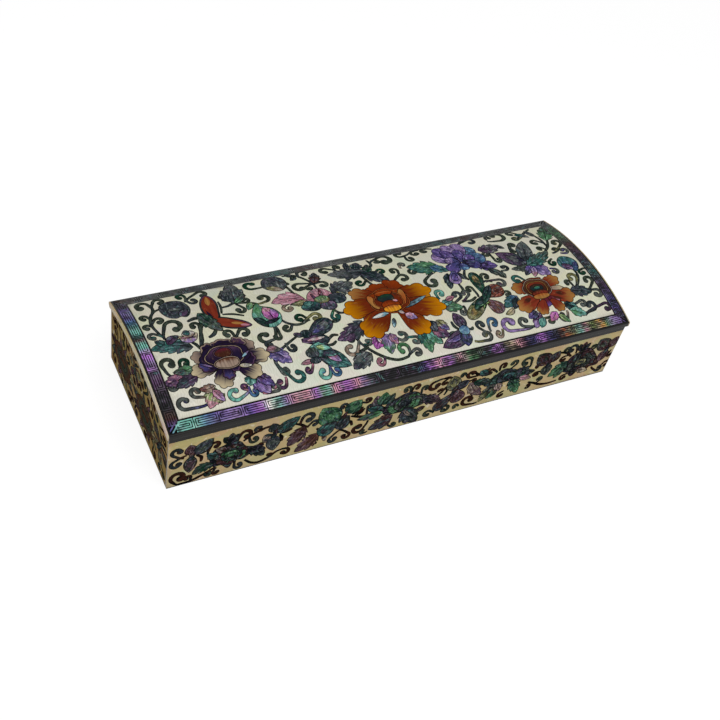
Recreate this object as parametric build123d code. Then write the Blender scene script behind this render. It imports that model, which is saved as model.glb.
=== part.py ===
"""Arched-lid pencil case: a lacquered board box faced with mother-of-pearl sheet.

The base is a bottom board held in a rebate of four walls. Each wall carries a shell panel let into its
outer face. The lid is one arched board with a shell field, four mitred shell border strips and a shell
strip on each end edge. It turns on two small brass butt hinges whose barrels lie flush in a V groove
along the back. The two bevels of that groove meet when the lid is open, and are its stop.

Frame: +X along the case, +Y from front to back, +Z up. The origin is the centre of the underside.
"""
from build123d import *
import os
from math import asin, cos, degrees, radians, sqrt, tan

# Lid
LID_LENGTH = 220.0
LID_DEPTH = 75.0
CASE_HEIGHT = 40.0
ARCH_RISE = 6.2
LID_THICKNESS = 2.6
LID_EDGE_ROUND = 0.45

# Shell sheet, and the lacquer lines that show between its pieces
SHELL = 0.5
BORDER_MARGIN = 0.8
BORDER_WIDTH = 4.2
BORDER_LINE = 0.6
CORNER_BEAD = 0.5
PANEL_FOOT = 0.4
RIM_HEIGHT = 2.8

# Base
END_OVERHANG = 1.0
FRONT_OVERHANG = 0.8
WALL = 5.0
BOTTOM_BOARD = 3.0
FELT = 0.8
REBATE = 2.0
SEAM_GAP = 0.1

# Linings
WALL_LINING = 1.0
FLOOR_LINING = 1.5
LID_LINING = 0.8
LINING_DROP = 1.2
LINING_CLEARANCE = 0.7

# Hinges
HINGE_FROM_END = 45.0
HINGE_LENGTH = 18.0
BARREL_RADIUS = 1.2
PIN_RADIUS = 0.6
PIN_CLEARANCE = 0.05
LEAF_THICKNESS = 0.6
LEAF_GAP = 0.05
LEAF_INSET = 0.4
KNUCKLES = 3
KNUCKLE_GAP = 0.15
BARREL_CLEARANCE = 0.15
NAIL_RADIUS = 0.35
NAIL_HEAD_RADIUS = 0.7
NAIL_HEAD_DEPTH = 0.4
NAIL_SPACING = 11.0
BASE_NAIL_LENGTH = 3.0
LID_NAIL_COVER = 0.2
LID_BEVEL_DEG = 43.0
BASE_BEVEL_DEG = 64.0

# Magnetic catch
CATCH_RADIUS = 1.5
MAGNET_LENGTH = 2.5
PLATE_LENGTH = 1.0
CATCH_RECESS = 0.1

# Where those sizes put things
HALF_LID = LID_LENGTH / 2
HALF_DEPTH = LID_DEPTH / 2
ARCH_RADIUS = (HALF_DEPTH**2 + ARCH_RISE**2) / (2 * ARCH_RISE)
ARCH_CENTRE_Z = CASE_HEIGHT - ARCH_RADIUS
LID_UNDER_RADIUS = ARCH_RADIUS - LID_THICKNESS
SEAT_RADIUS = LID_UNDER_RADIUS - SEAM_GAP
HALF_BASE = HALF_LID - END_OVERHANG
FRONT_FACE = -HALF_DEPTH + FRONT_OVERHANG
BACK_FACE = HALF_DEPTH
FACED_WALL = WALL + SHELL
INNER_X = HALF_BASE - FACED_WALL
INNER_FRONT = FRONT_FACE + FACED_WALL
INNER_BACK = BACK_FACE - FACED_WALL
FLOOR_Z = FELT + BOTTOM_BOARD
FRONT_SEAT_Z = ARCH_CENTRE_Z + sqrt(SEAT_RADIUS**2 - FRONT_FACE**2)
PANEL_TOP = FRONT_SEAT_Z - RIM_HEIGHT
PIN_Y = BACK_FACE - BARREL_RADIUS
SEAM_RADIUS = LID_UNDER_RADIUS - SEAM_GAP / 2
PIN_Z = ARCH_CENTRE_Z + sqrt(SEAM_RADIUS**2 - PIN_Y**2)
HINGE_TILT = degrees(asin(PIN_Y / SEAM_RADIUS))
LEAF_REACH = (PIN_Y - INNER_BACK) / cos(radians(HINGE_TILT)) - LEAF_INSET
NAIL_REACH = (BARREL_RADIUS + BARREL_CLEARANCE + LEAF_REACH) / 2
HINGE_X = HALF_LID - HINGE_FROM_END
LID_NAIL_LENGTH = LID_THICKNESS - SHELL - LID_NAIL_COVER
BEYOND = 5.0  # how far a cutting tool runs past what it cuts


def block(x_range, y_range, z_range):
    """A box between these limits."""
    (x0, x1), (y0, y1), (z0, z1) = x_range, y_range, z_range
    return Pos((x0 + x1) / 2, (y0 + y1) / 2, (z0 + z1) / 2) * Box(x1 - x0, y1 - y0, z1 - z0)


def drum(radius):
    """A cylinder along X about the arch's centre: what lies under an arch of that radius."""
    return Pos(0, 0, ARCH_CENTRE_Z) * Rot(0, 90, 0) * Cylinder(radius, LID_LENGTH + 2 * BEYOND)


def arched_layer(outer, inner, outline):
    """The part of the arch between two radii that stands over a flat outline."""
    column = extrude(outline, CASE_HEIGHT + BEYOND)
    return column & (drum(outer) - drum(inner))


def rectangle(x_range, y_range):
    """A flat rectangle on Z = 0 between these limits."""
    (x0, x1), (y0, y1) = x_range, y_range
    return Pos((x0 + x1) / 2, (y0 + y1) / 2) * Rectangle(x1 - x0, y1 - y0)


def quad(*corners):
    """A flat four-sided outline on Z = 0."""
    return make_face(Polyline(*corners, close=True))


def wedge(*corners):
    """A prism along the whole case, whose (y, z) corners are counted from the hinge axis."""
    face = make_face(Plane.YZ * Polyline(*corners, close=True))
    prism = extrude(face, LID_LENGTH / 2 + BEYOND, dir=(1, 0, 0), both=True)
    return Pos(0, PIN_Y, PIN_Z) * prism


def base_bevel():
    """What the V groove takes from the top back edge of the base."""
    run = 2 * BARREL_RADIUS
    return wedge((0, 0), (run, -run * tan(radians(BASE_BEVEL_DEG))), (run, CASE_HEIGHT), (0, CASE_HEIGHT))


def lid_bevel():
    """What the V groove takes from the lower back edge of the lid."""
    run = 2 * BARREL_RADIUS
    return wedge((0, 0), (run, run * tan(radians(LID_BEVEL_DEG))), (run, -CASE_HEIGHT), (0, -CASE_HEIGHT))


def shell_panels():
    """The four shell sheets of the base. The end sheets stop short of the corners at a lacquer bead."""
    end_y = (FRONT_FACE + SHELL + CORNER_BEAD, BACK_FACE - SHELL - CORNER_BEAD)
    tall = (PANEL_FOOT, CASE_HEIGHT)
    low = (PANEL_FOOT, PANEL_TOP)
    seat = drum(SEAT_RADIUS) - base_bevel()
    whole = (-HALF_BASE, HALF_BASE)
    return {
        "front_shell_panel": block(whole, (FRONT_FACE, FRONT_FACE + SHELL), low),
        "back_shell_panel": block(whole, (BACK_FACE - SHELL, BACK_FACE), low) - base_bevel(),
        "left_shell_panel": block((-HALF_BASE, -HALF_BASE + SHELL), end_y, tall) & seat,
        "right_shell_panel": block((HALF_BASE - SHELL, HALF_BASE), end_y, tall) & seat,
    }


def base_boards(panels):
    """The walls and the bottom. The end walls are housed in the long walls, the bottom in all four."""
    seat = drum(SEAT_RADIUS) - base_bevel()
    tall = (0, CASE_HEIGHT)
    whole = (-HALF_BASE, HALF_BASE)
    bottom_x = (-INNER_X - REBATE, INNER_X + REBATE)
    housed_y = (INNER_FRONT - REBATE, INNER_BACK + REBATE)
    bottom = block(bottom_x, housed_y, (FELT, FLOOR_Z))
    felt = block(bottom_x, housed_y, (0, FELT))
    left = block((-HALF_BASE, -INNER_X), housed_y, tall)
    right = block((INNER_X, HALF_BASE), housed_y, tall)
    front = block(whole, (FRONT_FACE, INNER_FRONT), tall) - left - right
    back = block(whole, (INNER_BACK, BACK_FACE), tall) - left - right
    walls = {"front_wall": front, "back_wall": back, "left_end_wall": left, "right_end_wall": right}
    for name, wall in walls.items():
        wall = (wall & seat) - bottom - felt
        for panel in panels.values():
            wall -= panel
        walls[name] = wall
    return walls | {"bottom_board": bottom, "underside_felt": felt}


def linings():
    """Velvet-covered card inside the base, and the velvet sheet under the lid."""
    under_rim = drum(SEAT_RADIUS - LINING_DROP)
    tall = (FLOOR_Z, CASE_HEIGHT)
    clear_x = INNER_X - WALL_LINING
    clear_y = (INNER_FRONT + WALL_LINING, INNER_BACK - WALL_LINING)
    lid_x = clear_x - LINING_CLEARANCE
    lid_y = (clear_y[0] + LINING_CLEARANCE, clear_y[1] - LINING_CLEARANCE)
    whole = (-INNER_X, INNER_X)
    return {
        "front_wall_lining": block(whole, (INNER_FRONT, clear_y[0]), tall) & under_rim,
        "back_wall_lining": block(whole, (clear_y[1], INNER_BACK), tall) & under_rim,
        "left_wall_lining": block((-INNER_X, -clear_x), clear_y, tall) & under_rim,
        "right_wall_lining": block((clear_x, INNER_X), clear_y, tall) & under_rim,
        "floor_lining": block((-clear_x, clear_x), clear_y, (FLOOR_Z, FLOOR_Z + FLOOR_LINING)),
        "lid_lining": arched_layer(
            LID_UNDER_RADIUS, LID_UNDER_RADIUS - LID_LINING, rectangle((-lid_x, lid_x), lid_y)
        ),
    }


def lid_plate():
    """The whole arched lid before anything is let into it, with its long edges eased."""
    plate = arched_layer(
        ARCH_RADIUS, LID_UNDER_RADIUS, rectangle((-HALF_LID, HALF_LID), (-HALF_DEPTH, HALF_DEPTH))
    )
    long_edges = plate.edges().filter_by(Axis.X)
    front_edges = long_edges.sort_by(Axis.Y)[:2]
    back_top_edge = long_edges.sort_by(Axis.Y)[-2:].sort_by(Axis.Z)[-1]
    plate = fillet([*front_edges, back_top_edge], LID_EDGE_ROUND)
    return plate - lid_bevel()


def lid_shells(plate):
    """The shell sheets of the lid: end-edge strips, a mitred border and the field inside it."""
    strip_x = HALF_LID - SHELL
    outer_x = strip_x - BORDER_MARGIN
    outer_y = HALF_DEPTH - BORDER_MARGIN
    inner_x = outer_x - BORDER_WIDTH
    inner_y = outer_y - BORDER_WIDTH
    field_x = inner_x - BORDER_LINE
    field_y = inner_y - BORDER_LINE

    def skin(outline):
        return arched_layer(ARCH_RADIUS, ARCH_RADIUS - SHELL, outline)

    def long_strip(side):
        return skin(
            quad((-outer_x, side * outer_y), (outer_x, side * outer_y),
                 (inner_x, side * inner_y), (-inner_x, side * inner_y))
        )

    def short_strip(side):
        return skin(
            quad((side * outer_x, -outer_y), (side * outer_x, outer_y),
                 (side * inner_x, inner_y), (side * inner_x, -inner_y))
        )

    def end_strip(side):
        return plate & block(
            sorted((side * strip_x, side * HALF_LID)), (-HALF_DEPTH, HALF_DEPTH), (0, CASE_HEIGHT + BEYOND)
        )

    return {
        "lid_shell_field": skin(rectangle((-field_x, field_x), (-field_y, field_y))),
        "lid_front_border": long_strip(-1),
        "lid_back_border": long_strip(1),
        "lid_left_border": short_strip(-1),
        "lid_right_border": short_strip(1),
        "lid_left_edge_strip": end_strip(-1),
        "lid_right_edge_strip": end_strip(1),
    }


def knuckle_spans():
    """The (start, end) of each knuckle along the hinge, evenly divided with a gap between them."""
    length = (HINGE_LENGTH - (KNUCKLES - 1) * KNUCKLE_GAP) / KNUCKLES
    pitch = length + KNUCKLE_GAP
    starts = [-HINGE_LENGTH / 2 + i * pitch for i in range(KNUCKLES)]
    return [(start, start + length) for start in starts]


def rod(radius, x_range):
    """A cylinder along X between these limits."""
    x0, x1 = x_range
    return Pos((x0 + x1) / 2, 0, 0) * Rot(0, 90, 0) * Cylinder(radius, x1 - x0)


def hinge_leaf(side):
    """One leaf about the hinge axis: side -1 lies on the base and 1 under the lid. -Y points inwards."""
    half = HINGE_LENGTH / 2
    inner_z, outer_z = side * LEAF_GAP, side * (LEAF_GAP + LEAF_THICKNESS)
    leaf = block((-half, half), (-LEAF_REACH, 0), sorted((inner_z, outer_z)))
    own, other = [], []
    for index, span in enumerate(knuckle_spans()):
        (own if (index % 2 == 0) == (side < 0) else other).append(span)
    for span in own:
        leaf += rod(BARREL_RADIUS, span)
    for x0, x1 in other:
        leaf -= rod(BARREL_RADIUS + BARREL_CLEARANCE, (x0 - KNUCKLE_GAP, x1 + KNUCKLE_GAP))
    bore = PIN_RADIUS if side < 0 else PIN_RADIUS + PIN_CLEARANCE
    return leaf - rod(bore, (-half, half))


def nail(side):
    """A countersunk brass nail with its head flush in a leaf, pointing away from the seam."""
    length = BASE_NAIL_LENGTH if side < 0 else LID_NAIL_LENGTH
    profile = make_face(
        Plane.XZ * Polyline(
            (0, 0), (NAIL_HEAD_RADIUS, 0), (NAIL_RADIUS, NAIL_HEAD_DEPTH),
            (NAIL_RADIUS, length), (0, length), close=True,
        )
    )
    upright = revolve(profile, Axis.Z)
    return upright if side > 0 else Rot(180, 0, 0) * upright


def hinge_set(x):
    """Both leaves, the pin and the nails of the hinge at x, and the pocket that its barrel needs."""
    seat = Pos(x, PIN_Y, PIN_Z) * Rot(-HINGE_TILT, 0, 0)
    half = HINGE_LENGTH / 2
    leaves, nails, pockets = {}, {}, {}
    for side in (-1, 1):
        pins = [
            Pos(side_x, -NAIL_REACH, side * LEAF_GAP) * nail(side)
            for side_x in (-NAIL_SPACING / 2, NAIL_SPACING / 2)
        ]
        leaf = hinge_leaf(side)
        for one in pins:
            leaf -= one
        leaves[side] = seat * leaf
        nails[side] = [seat * one for one in pins]
        leaf_room = sorted((0, side * (LEAF_GAP + LEAF_THICKNESS)))
        barrel_room = (-half - BARREL_CLEARANCE, half + BARREL_CLEARANCE)
        pocket = block((-half, half), (-LEAF_REACH, 0), leaf_room)
        pocket += rod(BARREL_RADIUS + BARREL_CLEARANCE, barrel_room)
        pockets[side] = seat * pocket
    pin = seat * rod(PIN_RADIUS, (-half, half))
    return leaves, nails, pockets, pin


def catch_disc(side, length):
    """A disc on the seam at the middle of the front rim: side -1 is the magnet and 1 the steel plate."""
    y = (FRONT_FACE + INNER_FRONT) / 2
    radius = SEAT_RADIUS if side < 0 else LID_UNDER_RADIUS
    z = ARCH_CENTRE_Z + sqrt(radius**2 - y**2)
    tilt = degrees(asin(y / radius))
    near, far = side * CATCH_RECESS, side * (CATCH_RECESS + length)
    well = Pos(0, 0, far / 2) * Cylinder(CATCH_RADIUS, abs(far))
    disc = Pos(0, 0, (near + far) / 2) * Cylinder(CATCH_RADIUS, length)
    mouth = Pos(0, 0, -side * CATCH_RECESS) * Cylinder(CATCH_RADIUS, 2 * CATCH_RECESS)
    place = Pos(0, y, z) * Rot(-tilt, 0, 0)
    return place * disc, place * (well + mouth)


def build():
    """Every sub-part by its node name."""
    panels = shell_panels()
    parts = base_boards(panels) | panels | linings()

    lid_board = lid_plate()
    shells = lid_shells(lid_board)
    for sheet in shells.values():
        lid_board -= sheet
    parts |= shells

    base_nails, lid_nails = [], []
    for name, x in (("left", -HINGE_X), ("right", HINGE_X)):
        leaves, nails, pockets, pin = hinge_set(x)
        parts[f"{name}_hinge_base_leaf"] = leaves[-1]
        parts[f"{name}_hinge_lid_leaf"] = leaves[1]
        parts[f"{name}_hinge_pin"] = pin
        parts["back_wall"] -= pockets[-1]
        lid_board -= pockets[1]
        for one in nails[-1]:
            parts["back_wall"] -= one
        for one in nails[1]:
            lid_board -= one
        base_nails += nails[-1]
        lid_nails += nails[1]
    parts["base_hinge_nails"] = Compound(children=base_nails)
    parts["lid_hinge_nails"] = Compound(children=lid_nails)

    magnet, magnet_well = catch_disc(-1, MAGNET_LENGTH)
    plate, plate_well = catch_disc(1, PLATE_LENGTH)
    parts["front_wall"] -= magnet_well
    lid_board -= plate_well
    parts["catch_magnet"] = magnet
    parts["catch_plate"] = plate
    parts["lid_board"] = lid_board
    return parts


os.makedirs("parts", exist_ok=True)
for node, shape in build().items():
    export_step(shape, f"parts/{node}.step")
print(f"hinge axis y {PIN_Y:.4f} z {PIN_Z:.4f}, seam tilt {HINGE_TILT:.3f} deg")
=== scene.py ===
"""The looks of the shell pencil case: lacquer, inlaid shell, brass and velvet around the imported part.

The shell sheets are drawn flat, in millimetres, as pieces laid in order. A later piece covers what it
overlaps. Each drawing is then cut into one closed sheet that stands where the part's own sheet is.
"""
from math import acos, atan2, cos, hypot, pi, radians, sin, sqrt, tan
from random import Random

import bpy
import numpy as np
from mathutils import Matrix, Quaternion, Vector
from mathutils.geometry import delaunay_2d_cdt


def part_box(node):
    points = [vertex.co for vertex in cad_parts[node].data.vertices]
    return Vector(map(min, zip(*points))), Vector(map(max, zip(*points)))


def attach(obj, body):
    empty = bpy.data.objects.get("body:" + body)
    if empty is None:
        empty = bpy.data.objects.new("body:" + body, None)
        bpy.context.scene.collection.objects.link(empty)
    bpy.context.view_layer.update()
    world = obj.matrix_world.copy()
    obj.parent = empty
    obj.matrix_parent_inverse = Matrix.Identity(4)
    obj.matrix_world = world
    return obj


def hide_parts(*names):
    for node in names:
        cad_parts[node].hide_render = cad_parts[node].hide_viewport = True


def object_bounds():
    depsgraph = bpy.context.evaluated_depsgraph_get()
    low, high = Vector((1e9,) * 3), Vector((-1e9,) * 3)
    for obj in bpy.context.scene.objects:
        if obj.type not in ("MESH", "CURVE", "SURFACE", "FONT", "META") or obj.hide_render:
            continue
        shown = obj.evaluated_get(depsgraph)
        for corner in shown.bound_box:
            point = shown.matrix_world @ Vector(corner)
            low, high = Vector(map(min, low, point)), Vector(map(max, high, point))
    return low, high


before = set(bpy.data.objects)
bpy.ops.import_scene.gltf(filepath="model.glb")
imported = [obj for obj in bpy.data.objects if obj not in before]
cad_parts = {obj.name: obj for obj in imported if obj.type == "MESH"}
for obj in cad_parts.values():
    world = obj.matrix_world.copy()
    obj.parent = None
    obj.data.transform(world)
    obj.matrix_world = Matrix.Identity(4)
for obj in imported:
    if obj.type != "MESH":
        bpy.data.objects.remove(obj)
cad_low, cad_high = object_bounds()

# The case's own sizes, in millimetres, that the sheets and linings follow
MM = 0.001
HALF_DEPTH = cad_high.y / MM
CROWN = cad_high.z / MM
ARCH_RISE = 6.2
ARCH_RADIUS = (HALF_DEPTH**2 + ARCH_RISE**2) / (2 * ARCH_RISE)
ARCH_CENTRE = CROWN - ARCH_RADIUS
LID_UNDER = ARCH_RADIUS - 2.6
LID_LINING = 0.8
SEAT_RADIUS = ARCH_RADIUS - 2.7
LINING_TOP = SEAT_RADIUS - 1.2
PIN_Y = 36.3
PIN_Z = 31.4084
BASE_BEVEL = 64.0
SHELL = 0.5
BORDER = 4.2

# The drawings' own sizes, in millimetres
DARK_LINE = 0.3
THIN_LINE = 0.06
RIM = 0.55
STEM = 0.8
SCROLL_END = 0.55

# Colours of shell, as seen, in 0 to 255
TONES = {
    "cream": (214, 213, 190), "beige": (184, 164, 116), "black": (10, 10, 12), "slate": (58, 66, 70),
    "grey": (92, 98, 94), "moss": (68, 78, 66), "olive": (140, 138, 92), "teal": (52, 104, 98),
    "aqua": (120, 188, 172), "green": (84, 138, 92), "lime": (150, 180, 110), "deep": (30, 48, 50),
    "forest": (26, 66, 48), "blue": (74, 112, 150), "sky": (130, 178, 196), "indigo": (72, 70, 126),
    "violet": (98, 80, 148), "lilac": (158, 132, 186), "plum": (82, 58, 86), "pink": (206, 146, 160),
    "rose": (186, 124, 140), "magenta": (190, 96, 186), "wine": (96, 34, 48), "night": (34, 26, 52),
    "sand": (200, 184, 150), "tan": (158, 138, 122), "brown": (98, 62, 46), "rust": (142, 58, 18),
    "brick": (112, 42, 18), "amber": (200, 128, 8), "ochre": (168, 118, 62), "russet": (116, 52, 34),
    "maroon": (126, 50, 34), "mauve": (104, 78, 84), "ink": (42, 48, 40), "honey": (222, 150, 40),
    "copper": (170, 92, 44), "umber": (70, 40, 30), "snow": (232, 230, 220), "orchid": (176, 110, 200),
    "coal": (40, 40, 44), "khaki": (144, 120, 72),
}


def linear(tone):
    """A tone's name as linear red, green, blue and alpha."""
    parts = [c / 255 for c in TONES[tone]]
    return [c / 12.92 if c <= 0.04045 else ((c + 0.055) / 1.055) ** 2.4 for c in parts] + [1.0]


# Outlines


def smooth(points, closed=True, steps=5):
    """A Catmull-Rom curve through the points."""
    count = len(points)
    spans = count if closed else count - 1
    out = []
    for i in range(spans):
        near = [i + k for k in (-1, 0, 1, 2)]
        at = [points[k % count] if closed else points[min(max(k, 0), count - 1)] for k in near]
        for j in range(steps):
            u = j / steps
            weights = (
                (-u + 2 * u**2 - u**3) / 2, (2 - 5 * u**2 + 3 * u**3) / 2,
                (u + 4 * u**2 - 3 * u**3) / 2, (-(u**2) + u**3) / 2,
            )
            out.append(tuple(sum(w * p[axis] for w, p in zip(weights, at)) for axis in (0, 1)))
    if not closed:
        out.append(tuple(points[-1]))
    return out


def area(outline):
    """Signed area: positive where the outline runs anticlockwise."""
    return sum(a[0] * b[1] - b[0] * a[1] for a, b in zip(outline, outline[1:] + outline[:1])) / 2


def swell(outline, by):
    """The outline moved outwards by a small distance."""
    if area(outline) < 0:
        outline = outline[::-1]
    out = []
    for before, here, after in zip(outline[-1:] + outline[:-1], outline, outline[1:] + outline[:1]):
        run = (after[0] - before[0], after[1] - before[1])
        length = hypot(*run) or 1.0
        out.append((here[0] + by * run[1] / length, here[1] - by * run[0] / length))
    return out


def placed(local, base, tip):
    """Points given as shares of the way from base to tip, and across it, put in the drawing."""
    along = (tip[0] - base[0], tip[1] - base[1])
    return [(base[0] + s * along[0] - t * along[1], base[1] + s * along[1] + t * along[0]) for s, t in local]


def petal(base, tip, width, lobes=3, depth=0.17):
    """A petal that widens from its root to a broad edge, scalloped or plain."""
    half = width / hypot(tip[0] - base[0], tip[1] - base[1]) / 2
    step, root, shoulder, crown_reach = 0.12, 0.3, 0.66, 0.34
    side = [(step * i, half * (root + 0.7 * sin(pi / 2 * step * i / shoulder) ** 1.3)) for i in range(6)]
    crown = []
    count = 7 * max(lobes, 2)
    for i in range(count + 1):
        a = pi * i / count
        push = 1 - depth + depth * 1.25 * abs(sin(lobes * a)) if lobes else 1
        crown.append((shoulder + crown_reach * sin(a) * push, half * cos(a) * push))
    return placed(side + crown + [(s, -t) for s, t in side[::-1]], base, tip)


def blade(base, tip, width, teeth=0, bend=0.0, steps=9):
    """A pointed leaf along a bent rib, plain or with teeth that point to its tip."""
    length = hypot(tip[0] - base[0], tip[1] - base[1])
    shares = [i / steps for i in range(steps + 1)]
    if teeth:
        shares = sorted(
            {round((i + k) / teeth, 4) for i in range(teeth) for k in (0.0, 0.35, 0.7, 0.999)} | {1.0}
        )
    sides = []
    for side in (1, -1):
        edge = []
        for s in shares:
            half = width / length / 2 * sin(pi * s**0.85) ** 0.8
            if teeth:
                half *= 0.84 + 0.34 * (s * teeth % 1.0)
            edge.append((s, side * half + bend * 4 * s * (1 - s)))
        sides.append(edge)
    return placed(sides[0] + sides[1][-2:0:-1], base, tip)


def blob(centre, width, height, lobes=0, depth=0.06, turn=0.0, steps=32):
    """An oval, plain or with a scalloped edge."""
    out = []
    for i in range(steps):
        a = 2 * pi * i / steps
        push = 1 + (depth * (2 * abs(sin(lobes * a / 2)) - 1) if lobes else 0)
        u, v = width / 2 * cos(a) * push, height / 2 * sin(a) * push
        c, s = cos(radians(turn)), sin(radians(turn))
        out.append((centre[0] + u * c - v * s, centre[1] + u * s + v * c))
    return out


def stroke(points, widths):
    """A band along the points, as wide as given at its start, middle and end."""
    left, right = [], []
    last = len(points) - 1
    for i, here in enumerate(points):
        before, after = points[max(i - 1, 0)], points[min(i + 1, last)]
        run = (after[0] - before[0], after[1] - before[1])
        length = hypot(*run) or 1.0
        s = i / last
        start, middle, end = widths
        half = (start + (middle - start) * s * 2 if s < 0.5 else middle + (end - middle) * (s * 2 - 1)) / 2
        left.append((here[0] - half * run[1] / length, here[1] + half * run[0] / length))
        right.append((here[0] + half * run[1] / length, here[1] - half * run[0] / length))
    return left + right[::-1]


def crook_line(start, centre, radius, sweep, closing=0.5, steps=12):
    """A line that leaves start, meets a circle and winds inwards round it. A positive sweep turns left."""
    away = (start[0] - centre[0], start[1] - centre[1])
    just_outside = radius * 1.02
    reach = max(hypot(*away), just_outside)
    turn = 1 if sweep > 0 else -1
    first = atan2(away[1], away[0]) + turn * acos(radius / reach)
    meet = (centre[0] + radius * cos(first), centre[1] + radius * sin(first))
    bow = -turn * 0.1
    run = (meet[0] - start[0], meet[1] - start[1])
    line = []
    lead = 4
    for i in range(lead):
        u = i / lead
        off = bow * 4 * u * (1 - u) * (1 - u)
        line.append((start[0] + u * run[0] - off * run[1], start[1] + u * run[1] + off * run[0]))
    for i in range(steps + 1):
        u = i / steps
        r = radius * (1 - closing * u**1.5)
        a = first + radians(sweep) * u
        line.append((centre[0] + r * cos(a), centre[1] + r * sin(a)))
    return line


# Pieces laid in order


class Drawing:
    """A flat drawing: a list of pieces, each with an outline, a finish, two tones and its own axis.

    The light is a share by which the tones of its pieces are multiplied, but not its ground; below 1 it is
    painted shade.
    """

    def __init__(self, seed, ground="cream", light=1.0):
        self.pieces = []
        self.light = light
        self.random = Random(seed)
        self.ground = ground

    def lay(self, outline, finish, tones=("black", "black"), base=(0, 0), tip=(1, 0), level=2):
        """A piece on top of what is laid so far at its level. Its tones may be a function of the axis."""
        if area(outline) < 0:
            outline = outline[::-1]
        order = (level, len(self.pieces))
        self.pieces.append((order, outline, finish, tones, base, tip, self.random.random()))

    def inlay(self, outline, finish, tones, base, tip, line=DARK_LINE, level=2):
        """A piece with a line of dark lacquer round it."""
        self.lay(swell(outline, line), "line", level=level)
        self.lay(outline, finish, tones, base, tip, level=level)

    def tendril(self, points, widths, tones):
        """A scroll stroke under the other motifs: its dark edge lies below every stroke's fill."""
        band = stroke(points, widths)
        self.lay(swell(band, DARK_LINE), "line", level=0)
        self.lay(band, "scroll", tones, points[0], points[-1], level=1)

    def rounded(self, points, tones, base, tip):
        """A piece of abalone inside a smooth curve through the points."""
        self.inlay(smooth(points), "abalone", tones, base, tip)

    def stem(self, points, tones=("slate", "moss"), width=STEM):
        self.tendril(smooth(points, closed=False), (width * 0.6, width * 1.2, width * 0.7), tones)

    def stems(self, rows):
        for points, width in rows:
            self.stem(points, width=width)

    def crook(self, x, y, cx, cy, radius, sweep, tones=("slate", "moss"), bulb=None):
        """A tendril from (x, y) that curls round (cx, cy) and ends in a bulb."""
        line = crook_line((x, y), (cx, cy), radius, sweep)
        bulb = 0.34 + radius * 0.38 if bulb is None else bulb
        self.tendril(line, (SCROLL_END, STEM + radius * 0.22, bulb * 1.25), tones)
        end = line[-1]
        drop = blob(end, 2 * bulb, 2 * bulb, steps=14)
        self.lay(swell(drop, DARK_LINE), "line", level=0)
        self.lay(drop, "scroll", tones, (cx, cy), end, level=1)

    def leaf(self, x0, y0, x1, y1, width, tones, teeth=0, bend=0.0, vein=True, level=2):
        """A leaf with a dark rib."""
        base, tip = (x0, y0), (x1, y1)
        self.inlay(blade(base, tip, width, teeth, bend), "abalone", tones, base, tip, level=level)
        if vein:
            rib = placed([(s, bend * 4 * s * (1 - s)) for s in (0.08, 0.3, 0.55, 0.82)], base, tip)
            self.lay(stroke(rib, (0.34, 0.26, 0.12)), "line", level=level)

    def leaves(self, rows, **look):
        for row in rows:
            self.leaf(*row, **look)

    def petals(self, rows, finish="petal", lobes=3, level=3):
        """Petals from the back of a flower to its front: base, tip, width and two tones."""
        for x0, y0, x1, y1, width, near, far in rows:
            base, tip = (x0, y0), (x1, y1)
            self.inlay(petal(base, tip, width, lobes), finish, (near, far), base, tip, level=level)

    def rimmed(self, rows, rim):
        """Petals in two dark tones, each with a thin pale rim."""
        for x0, y0, x1, y1, width, near, far in rows:
            base, tip = (x0, y0), (x1, y1)
            outline = petal(base, tip, width)
            self.inlay(outline, "petal", (near, rim), base, tip, level=3)
            self.lay(swell(outline, -RIM), "petal", (near, far), base, tip, level=3)

    def rosette(self, x, y, width, height, rim, tones, lobes):
        """A dark oval with a thin pale rim."""
        self.dot(x, y, width, height, (rim, rim), lobes)
        self.dot(x, y, width - 2 * RIM, height - 2 * RIM, tones, lobes)

    def dot(self, x, y, width, height, tones, lobes=0, turn=0.0, finish="petal"):
        """An oval piece, which is shaded from its bottom to its top."""
        outline = blob((x, y), width, height, lobes, turn=turn)
        self.inlay(outline, finish, tones, (x, y - height / 2), (x, y + height / 2), level=3)

    def dots(self, rows, **look):
        for row in rows:
            self.dot(*row, **look)

    def wing(self, x0, y0, x1, y1, width, tones, inner, pointed=False):
        """A butterfly's wing: a rounded or pointed piece with a smaller one of other tones let into it."""
        def shape(base, tip, wide):
            return blade(base, tip, wide * 1.1) if pointed else petal(base, tip, wide, 0)

        base, tip = (x0, y0), (x1, y1)
        self.inlay(shape(base, tip, width), "abalone", tones, base, tip, level=3)
        near, far = ((x0 + share * (x1 - x0), y0 + share * (y1 - y0)) for share in (0.25, 0.86))
        self.inlay(shape(near, far, width * 0.5), "abalone", inner, near, far, line=THIN_LINE, level=3)


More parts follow.
